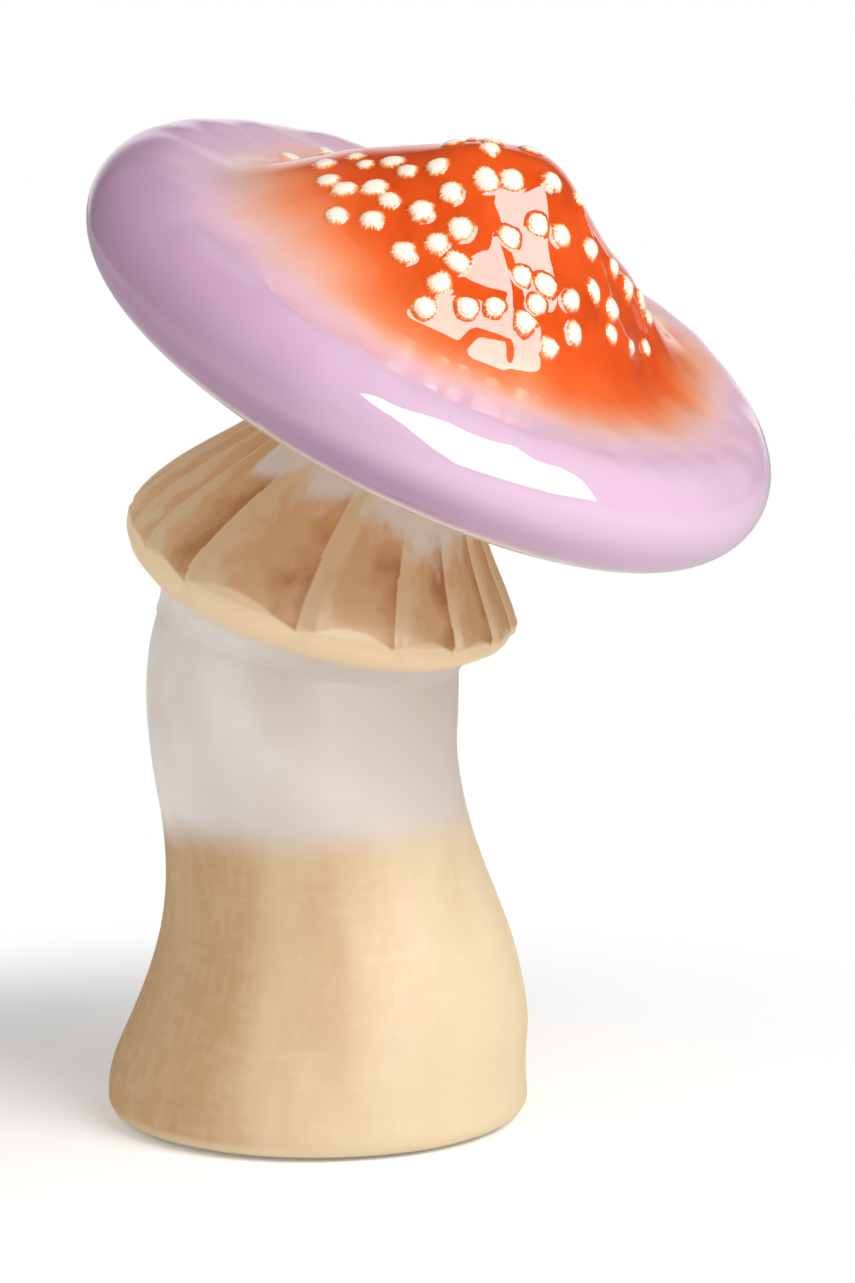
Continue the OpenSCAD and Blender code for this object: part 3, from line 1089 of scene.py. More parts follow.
@dataclass(frozen=True)
class SkirtGlaze(Glaze):
    """Tan glaze that pools brown where each pleat runs under the next, with a painted highlight on
    its crest.

    It washes out to whitish grey under the cap, in fingers of unequal length, and
    leaves the rolled rim cream in a scalloped band. Its gloss is softer than the cap's.
    """

    coat: float = 0.35
    coat_roughness: float = 0.36
    tan: str = "#EABD8C"
    brown: str = "#D8A270"
    deep_brown: str = "#C68D5E"
    light: str = "#F2D2A8"
    cream: str = "#FFE2B8"
    wash: str = "#F6EFE8"
    streak_size: float = 5.0
    streak_draw: tuple[float, float, float] = (1.0, 1.0, 0.22)
    streak_swing: float = 0.8
    mottle_size: float = 13.0
    mottle_swing: float = 0.9
    # Painted highlight along each pleat's crest: where it runs, and how strong it is.
    crest_highlight_marks: Spot = (0.09, 0.03)
    crest_highlight_share: float = 0.7
    finger_swing: float = 0.40
    wash_marks: Spot = (-0.09, 0.06)
    wash_share: float = 0.92
    lip_swing: float = 0.03
    lip_marks: Spot = (0.012, -0.012)
    fillet_marks: Spot = (-0.22, -0.50)
    below: StemGlaze = StemGlaze("warm white glaze under the skirt")

    def over(self) -> bpy.types.Material:
        """Makes the skirt's material, from the marks that its pleats carry.

        Returns:
            The material.
        """
        material, tree = started(self.name)
        pleat, drop, unrolled = (
            add_node(tree, "ShaderNodeAttribute", attribute_name=name).outputs["Vector"]
            for name in SKIRT_MARKS
        )
        share, pool, pale = add_node(tree, "ShaderNodeSeparateXYZ", (pleat,)).outputs
        climb, over_band, washed = add_node(tree, "ShaderNodeSeparateXYZ", (drop,)).outputs
        drawn_down = add_node(
            tree, "ShaderNodeMapping", {"Vector": unrolled, "Scale": self.streak_draw}
        )
        body = self.pooling(tree, pool, drawn_down, unrolled)
        # Painted highlight: a pale cream line along each pleat's crest.
        crest_pale = add_node(
            tree, "ShaderNodeMapRange", (share, *self.crest_highlight_marks, 0.0, self.crest_highlight_share), **SMOOTH
        )
        line = add_node(tree, "ShaderNodeMath", (crest_pale, pale), operation="MULTIPLY")
        highlit = add_node(tree, "ShaderNodeMix", (line, body, linear(self.cream)), data_type="RGBA")
        fingers = swayed(
            tree, washed, drawn_down, self.streak_size, self.finger_swing, detail=4.0, warp=0.3
        )
        wash, shares = linear(self.wash), (0.0, self.wash_share)
        faded = laid_over(tree, highlit, wash, fingers, self.wash_marks, shares)
        lip = swayed(tree, over_band, unrolled, self.mottle_size, self.lip_swing, warp=0.4)
        rolled = laid_over(tree, faded, linear(self.cream), lip, self.lip_marks)
        fillet = laid_over(tree, rolled, self.below.dipped(tree), climb, self.fillet_marks)
        self.fired(tree, fillet)
        return material

    def pooling(
        self, tree: bpy.types.NodeTree, pool: Feed, drawn_down: Feed, unrolled: Feed
    ) -> bpy.types.Node:
        """Lets the brown gather along each pleat, in streaks and mottles.

        Args:
            tree: The material's node tree.
            pool: How much brown each pleat gathers.
            drawn_down: Places on the skirt, drawn out down it.
            unrolled: The same places as they are.

        Returns:
            The node that gives the colour.
        """
        pooled = swayed(
            tree, pool, drawn_down, self.streak_size, self.streak_swing, detail=4.0, warp=0.3
        )
        pooled = swayed(tree, pooled, unrolled, self.mottle_size, self.mottle_swing, warp=0.4)
        return add_node(
            tree,
            "ShaderNodeValToRGB",
            (pooled,),
            stops=(
                (0.0, self.light),
                (0.20, self.light),
                (0.40, self.tan),
                (0.62, self.tan),
                (0.86, self.brown),
                (1.0, self.deep_brown),
            ),
        )


@dataclass(frozen=True)
class UndersideGlaze(Glaze):
    """Thin tan glaze under the cap, worn to cream on the gills' edges and at the rim."""

    tan: str = "#CBA078"
    brown: str = "#B98A62"
    cream: str = "#E8D3B6"
    mottle_size: float = 16.0

    def over(self) -> bpy.types.Material:
        """Makes the underside's material, from the marks that its gills carry.

        Returns:
            The material.
        """
        material, tree = started(self.name)
        place = add_node(tree, "ShaderNodeTexCoord").outputs["Object"]
        crest, climb = (
            add_node(tree, "ShaderNodeAttribute", attribute_name=name).outputs["Fac"]
            for name in GILL_MARKS
        )
        clouds = add_node(
            tree,
            "ShaderNodeTexNoise",
            {
                "Vector": place,
                "Scale": 1 / (self.mottle_size * MM),
                "Detail": 4.0,
                "Distortion": 0.3,
            },
        )
        tan, brown, cream = linear(self.tan), linear(self.brown), linear(self.cream)
        body = laid_over(tree, tan, brown, clouds, (0.35, 0.7), (0.0, 0.5))
        crest_pale = laid_over(tree, body, cream, crest, (0.45, 1.0), (0.0, 0.7))
        self.fired(tree, laid_over(tree, crest_pale, cream, climb, (0.90, 1.06)))
        return material


@dataclass(frozen=True)
class WoolFelt:
    """Pressed grey wool felt: dull, with fibres that catch the light at the edge.

    The fibres are drawn half a millimetre wide, coarser than life, so that they show.
    """

    name: str = "pressed wool felt"
    dark: str = "#2B2B2D"
    light: str = "#55565A"
    fibre: float = 0.5
    roughness: float = 0.95
    sheen: float = 0.4

    def over(self) -> bpy.types.Material:
        """Makes the pad's material.

        Returns:
            The material.
        """
        material, tree = started(self.name)
        place = add_node(tree, "ShaderNodeTexCoord").outputs["Object"]
        fibres = add_node(
            tree,
            "ShaderNodeTexNoise",
            {"Vector": place, "Scale": 1 / (self.fibre * MM), "Detail": 4.0, "Distortion": 1.5},
        )
        colours = (fibres, linear(self.dark), linear(self.light))
        shader = add_node(
            tree,
            "ShaderNodeBsdfPrincipled",
            {
                "Base Color": add_node(tree, "ShaderNodeMix", colours, data_type="RGBA"),
                "Roughness": self.roughness,
                "Sheen Weight": self.sheen,
                "Normal": add_node(
                    tree,
                    "ShaderNodeBump",
                    {"Strength": 0.5, "Distance": 0.2 * MM, "Height": fibres},
                ),
            },
        )
        add_node(tree, "ShaderNodeOutputMaterial", {"Surface": shader})
        return material


@dataclass
class FeltPad:
    """The felt pad that is stuck in the recess under the foot."""

    radius: float = 33.0
    thickness: float = 1.6
    edge: float = 0.35
    fuzz: float = 0.06
    fuzz_size: float = 1.4
    sides: int = 180
    rings: int = 6

    def build(self) -> bmesh.types.BMesh:
        """Cuts the disc, softens its edges and roughens its surface.

        Returns:
            The pad, on the ground.
        """
        mesh = bmesh.new()
        bmesh.ops.create_circle(mesh, cap_ends=True, radius=self.radius, segments=self.sides)
        grown = bmesh.ops.extrude_face_region(mesh, geom=mesh.faces[:])
        raised = [item for item in grown["geom"] if isinstance(item, bmesh.types.BMVert)]
        bmesh.ops.translate(mesh, vec=(0, 0, self.thickness), verts=raised)
        bmesh.ops.recalc_face_normals(mesh, faces=mesh.faces)
        rims = [edge for edge in mesh.edges if edge.calc_face_angle(0) > math.radians(60)]
        bmesh.ops.bevel(
            mesh,
            geom=rims,
            offset=self.edge,
            offset_type="OFFSET",
            affect="EDGES",
            segments=3,
            profile=0.5,
            material=-1,
        )
        step = self.radius / (self.rings + 1)
        for _ in range(self.rings):
            wide = [face for face in mesh.faces if len(face.verts) > 4]
            bmesh.ops.inset_region(mesh, faces=wide, thickness=step, use_even_offset=True)
        for vert in mesh.verts:
            rough = noise.noise(vert.co / self.fuzz_size)
            vert.co.z = max(0.0, vert.co.z + self.fuzz * rough)
        return mesh

    def dress(self) -> bpy.types.Object:
        """Makes the finished pad.

        Returns:
            The piece.
        """
        piece = finished(self.build(), "felt_pad", Slot.FELT, WoolFelt().over())
        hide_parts("base_pad")
        return piece


@dataclass
class SwayingStem:
    """The hollow cast stem, with its foot, its seat for the skirt and its neck."""

    foot: float = 42.5
    foot_edge: float = 4.0
    flare: float = 62.0
    waist: float = 31.6
    seat_z: float = 102.0
    seat: float = 29.8
    seat_right: float = 0.6
    seat_away: float = -1.0
    seat_lean: Lean = Lean(16.5, 28.0)
    shoulder: float = 16.0
    shelf: float = 8.0
    sway: float = 3.6
    sway_middle: float = 0.57
    sway_length: float = 0.96
    sway_fade: float = 0.2
    wall: float = 5.0
    neck: float = 13.0
    neck_in_cap: float = 9.0
    foot_z: float = 0.6
    recess: float = 1.0
    recess_radius: float = 33.3
    vent: float = 1.8
    unevenness: float = 0.16
    bump_sizes: Spot = (21.0, 8.0)
    bump_share: float = 0.4
    sides: int = 192
    rows: int = 110
    edge_rows: int = 10
    hollow_rows: int = 24
    neck_rows: int = 6

    @property
    def height(self) -> float:
        """Height of the stem, from the foot's lower face to the seat."""
        return self.seat_z - self.foot_z

    def middle(self, share: float) -> Vector:
        """Finds the middle of the stem.

        Args:
            share: How far up, from the foot at 0 to the seat at 1.

        Returns:
            The place on the swaying middle line.
        """
        wave = math.sin(math.tau * (self.sway_middle - share) / self.sway_length)
        side = self.sway * wave * ease(share / self.sway_fade)
        grown = ease(share)
        return Vector(
            (
                side + self.seat_right * grown,
                self.seat_away * grown,
                self.foot_z + self.height * share,
            )
        )

    def radius(self, share: float) -> float:
        """Works out the radius of the stem.

        Args:
            share: How far up, from the foot at 0 to the seat at 1.

        Returns:
            The radius.
        """
        flare = (self.foot - self.waist) * (1 - ease(self.height * share / self.flare))
        up = max(0.0, 1 - self.height * (1 - share) / self.shoulder)
        return self.waist + flare - (self.waist - self.seat) * up**2

    def place(self, reach: float, angle: float, height: float) -> Vector:
        """Puts a point of the straight stem where the sway carries it.

        Args:
            reach: The point's distance from the upright axis.
            angle: Its angle round the axis.
            height: Its height over the foot.

        Returns:
            The point on the swaying stem.
        """
        share = height / self.height
        lean = Lean(self.seat_lean.lean * share * ease(share), self.seat_lean.turn)
        ring = Vector((reach * math.cos(angle), reach * math.sin(angle), 0))
        point = self.middle(share) + lean.rotation @ ring
        if 0 < share < 1 and reach > self.neck:
            wide, narrow = (noise.noise(point / size) for size in self.bump_sizes)
            bumps = wide + self.bump_share * narrow
            point += (lean.rotation @ ring).normalized() * self.unevenness * bumps
        return point

    def hollow(self) -> list[Spot]:
        """Draws the hollow from its roof down to the vent, drawn in towards both its ends.

        Returns:
            The points of its outline.
        """
        low = self.recess + self.wall
        high = self.height - 1.5 * self.wall
        side = []
        for step in range(self.hollow_rows + 1):
            share = 1 - step / self.hollow_rows
            height = low + (high - low) * share
            close = 1 + (2 * share - 1) ** 6
            side.append((self.radius(height / self.height) - self.wall * close, height))
        return [(0, high), *side, (self.vent, low)]

    def underside(self) -> list[Spot]:
        """Draws the foot from the vent out: its recess, its standing ring and its round edge.

        Returns:
            The points of its outline.
        """
        ring = self.foot - self.foot_edge
        flat = [(self.vent, self.recess), (self.recess_radius, self.recess)]
        flat += [(self.recess_radius, 0), (ring - 2.5, 0), (ring - 1, 0)]
        edge = []
        for step in range(self.edge_rows + 1):
            turn = math.radians(90 * step / self.edge_rows)
            height = self.foot_edge * (1 - math.cos(turn))
            out = self.radius(height / self.height) - self.foot_edge * (1 - math.sin(turn))
            edge.append((out, height))
        return [*flat, *edge]

    def profile(self) -> list[Spot]:
        """Draws the stem's outline: its hollow, its foot, its side and the shelf round its neck.

        Returns:
            The points of its outline.
        """
        side = []
        for step in range(1, self.rows + 1):
            height = self.foot_edge + (self.height - self.foot_edge) * step / self.rows
            side.append((self.radius(height / self.height), height))
        shelf = [(self.neck + self.shelf, self.height), (self.neck, self.height)]
        return [*self.hollow(), *self.underside(), *side, *shelf]

    def build(self, cap: CapForm) -> bmesh.types.BMesh:
        """Casts the stem, and draws its neck up into the cap.

        Args:
            cap: The cap that the neck reaches into.

        Returns:
            The stem, in its place.
        """
        top = cap.collar - self.middle(1)
        tall = top.length + self.neck_in_cap
        neck_lean = top.to_track_quat("Z", "Y")

        def put(reach: float, angle: float, height: float) -> Vector:
            """Puts a point of the side on the swaying stem, and one of the neck above it.

            Args:
                reach: The point's distance from the upright axis.
                angle: Its angle round the axis.
                height: Its height over the foot.

            Returns:
                The point in its place.
            """
            if height <= self.height + 1e-4:
                return self.place(reach, angle, height)
            ring = Vector((reach * math.cos(angle), reach * math.sin(angle), 0))
            share = (height - self.height) / tall
            return self.middle(1) + top.normalized() * tall * share + neck_lean @ ring

        neck = [
            (self.neck, self.height + tall * step / self.neck_rows)
            for step in range(1, self.neck_rows)
        ]
        neck_end = [(self.neck, self.height + tall), (0, self.height + tall)]
        return bent(turned([*self.profile(), *neck, *neck_end], self.sides), put)

    def dress(self, cap: CapForm) -> bpy.types.Object:
        """Makes the finished stem.

        Args:
            cap: The cap that its neck reaches into.

        Returns:
            The piece.
        """
        glaze = StemGlaze("white and sand glaze").over()
        piece = finished(self.build(cap), "cast_stem", Slot.STEM, glaze)
        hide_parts("stem")
        return piece


@dataclass(frozen=True)
class Fold:
    """A hand-pressed pleat: where it starts, in degrees from the right towards the far side.

    It rises at once from its start and falls slowly to the next one. Its strength is
    a share of the skirt's depth. Its line says how strong the painted highlight on its
    crest is, and its pool how much brown has gathered in it.
    """

    start: float
    strength: float
    line: float = 0.4
    pool: float = 1.0


@dataclass
class PleatedSkirt:
    """The pleated skirt that hangs round the neck, under the cap."""

    rim: float = 39.5
    rim_height: float = 9.0
    shift: float = -5.0
    top: float = 17.0
    bore: float = 13.6
    depth: float = 1.6
    wander: float = 0.7
    wander_start: float = 40.0
    flutter: float = 1.2
    rib: float = 0.22
    ribs_round: float = 11.0
    ribs_up: float = 1.5
    scallop: float = 0.10
    scallop_start: float = 0.012
    sides: int = 640
    folds: tuple[Fold, ...] = (
        Fold(20, 0.9, 0.9),
        Fold(44, 0.8),
        Fold(63, 1.0),
        Fold(90, 0.85),
        Fold(112, 1.0),
        Fold(139, 0.6, 0.8, 0.7),
        Fold(158, 0.4, 1.0, 0.5),
        Fold(176, 0.4, 1.0, 0.45),
        Fold(190, 0.35, 1.0, 0.55),
        Fold(206, 0.5, 0.6, 0.9),
        Fold(230, 0.9, 0.1),
        Fold(266, 0.9, 0.2),
        Fold(296, 0.7, 0.2),
        Fold(318, 0.6, 0.4),
        Fold(338, 0.7, 1.0),
        Fold(356, 0.7, 1.0),
    )
    wash_edge: tuple[Spot, ...] = (
        (0, 1.05),
        (45, 0.72),
        (90, 0.58),
        (140, 0.70),
        (185, 1.08),
        (208, 0.98),
        (220, 0.55),
        (235, 0.63),
        (250, 0.60),
        (268, 0.66),
        (285, 0.56),
        (302, 0.49),
        (329, 0.52),
        (341, 0.58),
        (352, 1.0),
        (360, 1.05),
    )

    def pleat(self, degrees: float) -> tuple[Fold, float, float]:
        """Finds the pleat at an angle.

        Args:
            degrees: The angle from the right towards the far side.

        Returns:
            The pleat, how far along it the angle lies, and how high it stands there.
        """
        for index, fold in enumerate(self.folds):
            after = self.folds[(index + 1) % len(self.folds)]
            along = (degrees - fold.start) % 360
            gap = (after.start - fold.start) % 360
            if along < gap:
                share = along / gap
                rise = ease(share / 0.18) ** 0.8
                fall = 1 - max(0.0, (share - 0.16) / 0.84) ** 1.5
                return fold, share, fold.strength * rise * fall
        raise ValueError(f"no pleat holds {degrees} degrees")

    def line(self, stem: SwayingStem, cap: CapForm, share: float) -> Vector:
        """Finds the middle of the skirt, on a curve from the seat to the collar.

        Args:
            stem: The stem that it sits on.
            cap: The cap that it reaches up to.
            share: How far up, from the seat at 0 to the collar at 1.

        Returns:
            The place on the curve.
        """
        low, high = stem.middle(1), cap.collar
        reach = (high - low).length / 3
        seat_axis = stem.seat_lean.axis
        if share < 0:
            return low + seat_axis * 3 * reach * share
        second = low + reach * seat_axis + Vector((self.shift, 0, 0))
        third = high - reach * cap.lean.axis
        rest = 1 - share
        return (
            rest**3 * low
            + 3 * share * rest**2 * second
            + 3 * share**2 * rest * third
            + share**3 * high
        )

    def profile(self, stem: SwayingStem, tall: float) -> list[Spot]:
        """Draws the skirt's outline: its fillet and lip, its frill, and its bore.

        Args:
            stem: The stem that it sits on.
            tall: Its height, from the seat to the collar.

        Returns:
            The points of its outline.
        """
        seat = stem.seat
        wide, rise = self.rim - seat, self.rim_height
        out, up = self.rim - self.top, tall - rise
        fillet = [
            (stem.radius(1 + below / stem.height) + stand, below)
            for stand, below in ((-0.05, -6.0), (0.10, -4.4), (0.45, -2.8), (1.10, -1.2))
        ]
        lip = (
            *fillet,
            (seat + 0.26 * wide, 0.10 * rise),
            (seat + 0.54 * wide, 0.36 * rise),
            (seat + 0.84 * wide, 0.64 * rise),
            (seat + 0.97 * wide, 0.88 * rise),
            (self.rim, rise + 0.05 * up),
        )
        frill = (
            (self.rim, rise + 0.05 * up),
            (self.top + 0.93 * out, rise + 0.13 * up),
            (self.top + 0.80 * out, rise + 0.24 * up),
            (self.top + 0.62 * out, rise + 0.37 * up),
            (self.top + 0.41 * out, rise + 0.52 * up),
            (self.top + 0.22 * out, rise + 0.68 * up),
            (self.top + 0.08 * out, rise + 0.84 * up),
            (self.top, rise + up),
        )
        inside = [(self.bore, tall), (self.bore, 0.5 * tall), (self.bore, 0.2), (seat - 3, 0.2)]
        return [*through(lip, 8), *through(frill, 10)[1:], *inside]

    def climb(self, height: float, tall: float) -> float:
        """Measures how far up the frill a place lies.

        Args:
            height: Its height over the seat.
            tall: The skirt's height.

        Returns:
            0 at the rim and 1 at the collar. Under the rim it falls to -0.5 at the seat.
        """
        if height > self.rim_height:
            return (height - self.rim_height) / (tall - self.rim_height)
        return (height - self.rim_height) / (2 * self.rim_height)

    def pressed(self, angle: float, share: float, climb: float) -> tuple[Fold, float, float]:
        """Works out how far the hand-pressed clay stands out at a place.

        Args:
            angle: The place's angle, from the right towards the far side.
            share: How far up it lies, from the seat at 0 to the collar at 1.
            climb: How far up the frill it lies.

        Returns:
            The pleat there, how far along it the place lies, and the relief.
        """
        right, away = math.cos(angle), math.sin(angle)
        flutter = self.flutter * noise.noise(Vector((2 * right, 2 * away, 2 * share)))
        fold, along, rise = self.pleat((math.degrees(angle) % 360 + flutter) % 360)
        wander = self.wander * math.sin(3 * angle + math.radians(self.wander_start))
        round_and_up = (self.ribs_round * right, self.ribs_round * away, self.ribs_up * share)
        ribs = self.rib * noise.noise(Vector(round_and_up))
        hang = max(0.0, 1 + 2 * climb) ** 2 if climb < 0 else 1 - 0.75 * climb
        return fold, along, (self.depth * (rise + wander) + ribs) * min(1.0, hang)

    def build(self, stem: SwayingStem, cap: CapForm) -> bmesh.types.BMesh:
        """Turns the skirt, presses the pleats in it and bends it between seat and collar.

        Each point also carries three marks for the glaze: its pleat, with the pool and
        the painted highlight on the crest in it, its drop from the collar, the scalloped band
        and the wash, and its place on the skirt before it was pressed and bent.

        Args:
            stem: The stem that it sits on.
            cap: The cap that it reaches up to.

        Returns:
            The skirt, in its place.
        """
        tall = (cap.collar - stem.middle(1)).length
        mesh = turned(self.profile(stem, tall), self.sides, closed=True)
        layers = mesh.verts.layers.float_vector
        for name in SKIRT_MARKS:
            layers.new(name)
        for vert in mesh.verts:
            x, y, z = vert.co
            angle, reach = math.atan2(y, x), math.hypot(x, y)
            share, climb = z / tall, self.climb(z, tall)
            fold, along, relief = self.pressed(angle, share, climb)
            band = self.scallop_start + self.scallop * fold.strength * math.sin(math.pi * along)
            wash = climb - between(self.wash_edge, math.degrees(angle) % 360)
            marks = (
                (along, fold.pool * along, fold.line),
                (climb, climb - band, wash),
                (x * MM, y * MM, z * MM),
            )
            for name, mark in zip(SKIRT_MARKS, marks):
                vert[layers[name]] = mark
            wide = reach + relief if reach > self.bore + 0.5 else reach
            lean = stem.seat_lean.towards(cap.lean, max(0.0, share))
            ring = Vector((wide * math.cos(angle), wide * math.sin(angle), 0))
            vert.co = self.line(stem, cap, share) + lean.rotation @ ring
        return mesh

    def dress(self, stem: SwayingStem, cap: CapForm) -> bpy.types.Object:
        """Makes the finished skirt.

        Args:
            stem: The stem that it sits on.
            cap: The cap that it reaches up to.

        Returns:
            The piece.
        """
        glaze = SkirtGlaze("tan breaking glaze").over()
        piece = finished(self.build(stem, cap), "pleated_skirt", Slot.SKIRT, glaze)
        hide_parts("skirt")
        return piece


@dataclass
class GilledUnderside:
    """The shallow plate that closes the cap from below, with gills in low relief."""

    gills: int = 48
    gill_depth: float = 0.9
    gill_edge: float = 0.6
    bore: float = 15.4
    steps_per_gill: int = 12
    face_rows: int = 30
    inner_rows: int = 7
    gap: float = 0.1

    def dish(self, cap: CapForm, share: float) -> float:
        """Works out the height of the plate's lower face.

        Args:
            cap: The cap that it closes.
            share: How far out, from the collar's edge at 0 to the rim's middle at 1.

        Returns:
            The height in the cap's own frame.
        """
        return -cap.collar_depth + (cap.collar_depth - cap.rim) * ease(share)

    def profile(self, cap: CapForm) -> list[Spot]:
        """Draws the plate's outline: its face, its lip on the rim, its inside and its bore.

        Args:
            cap: The cap that it closes.

        Returns:
            The points of its outline.
        """
        run = cap.rim_centre - cap.collar_radius
        face = []
        for step in range(self.face_rows + 1):
            share = step / self.face_rows
            face.append((cap.collar_radius + run * share, self.dish(cap, share)))
        end = -cap.seam_angle - math.degrees(math.asin(self.gap / cap.rim))
        lip = arc((cap.rim_centre, 0), cap.rim, -90, end, 8)[1:]
        inner_lip = arc((cap.rim_centre, 0), cap.rim - cap.wall, end, -90, 6)
        inner = []
        for step in range(1, self.inner_rows + 1):
            share = 1 - step / self.inner_rows
            inner.append((cap.collar_radius + run * share, self.dish(cap, share) + cap.wall))
        collar = [(self.bore, cap.wall - cap.collar_depth), (self.bore, -cap.collar_depth)]
        return [*face, *lip, *inner_lip, *inner, *collar]

    def build(self, cap: CapForm) -> bmesh.types.BMesh:
        """Turns the plate, presses the gills into it and tilts it into place.

        Each point also carries two marks for the glaze: how near it lies to a gill's
        crest, and how far out.

        Args:
            cap: The cap that it closes.

        Returns:
            The plate, in its place.
        """
        run = cap.rim_centre - cap.collar_radius
        mesh = turned(self.profile(cap), self.gills * self.steps_per_gill, closed=True)
        layers = mesh.verts.layers.float
        for name in GILL_MARKS:
            layers.new(name)
        for vert in mesh.verts:
            x, y, z = vert.co
            reach, angle = math.hypot(x, y), math.atan2(y, x)
            share = (reach - cap.collar_radius) / run
            edge = abs(math.sin(angle * self.gills / 2)) ** self.gill_edge
            fade = smooth(0.0, 0.12, share) * (1 - smooth(0.88, 1.02, share))
            if 0 < share < 1 and abs(z - self.dish(cap, share)) < 0.01:
                vert.co.z += self.gill_depth * edge * fade
            for name, mark in zip(GILL_MARKS, ((1 - edge) * fade, share)):
                vert[layers[name]] = mark
            vert.co = cap.set_in(vert.co)
        return mesh

    def dress(self, cap: CapForm) -> bpy.types.Object:
        """Makes the finished underside.

        Args:
            cap: The cap that it closes.

        Returns:
            The piece.
        """
        glaze = UndersideGlaze("thin tan glaze").over()
        piece = finished(self.build(cap), "gilled_underside", Slot.UNDERSIDE, glaze)
        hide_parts("cap_underside")
        return piece


@dataclass
class CapCrown:
    """The cap's upper shell, with its rounded rim and its lumpy boss."""

    sides: int = 448
    boss_rows: int = 112
    rim_rows: int = 26
    inner_rows: int = 14

    def profile(self, cap: CapForm) -> list[Spot]:
        """Draws the shell's outline, from the top out, round the rim and back inside.

        Args:
            cap: The cap's shape.

        Returns:
            The points of its outline.
        """
        outer = [
            (cap.rim_centre * step / self.boss_rows, cap.rim) for step in range(self.boss_rows)
        ]
        rim = arc((cap.rim_centre, 0), cap.rim, 90, -cap.seam_angle, self.rim_rows)
        inner_rim = arc((cap.rim_centre, 0), cap.rim - cap.wall, -cap.seam_angle, 90, 12)
        inner = [
            (cap.rim_centre * (1 - step / self.inner_rows), cap.rim - cap.wall)
            for step in range(1, self.inner_rows + 1)
        ]
        return [*outer, *rim, *inner_rim, *inner]

    def build(self, cap: CapForm) -> bmesh.types.BMesh:
        """Turns the shell, raises the boss in it and tilts it into place.

        Args:
            cap: The cap's shape and place.

        Returns:
            The shell, in its place.
        """
        mesh = turned(self.profile(cap), self.sides)
        for vert in mesh.verts:
            x, y, z = vert.co
            reach = math.hypot(x, y)
            if reach <= cap.rim_centre + 1e-4:
                outside = z > cap.rim - 0.5 * cap.wall
                dome = cap.dome * (1 - ease(reach / cap.rim_centre))
                vert.co.z += dome + cap.boss_rise(x, y, lumpy=outside)
            elif z > 0:
                shell = math.hypot(reach - cap.rim_centre, z)
                outside = shell > cap.rim - 0.5 * cap.wall
                vert.co.z += z / shell * cap.boss_rise(x, y, lumpy=outside)
            vert.co = cap.set_in(vert.co)
        return mesh

    def dress(self, cap: CapForm) -> bpy.types.Object:
        """Makes the finished crown.

        Args:
            cap: The cap's shape and place.

        Returns:
            The piece.
        """
        glaze = CapGlaze("lilac and orange glaze").over(cap)
        piece = finished(self.build(cap), "cap_shell", Slot.CAP, glaze)
        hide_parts("cap_crown")
        return piece


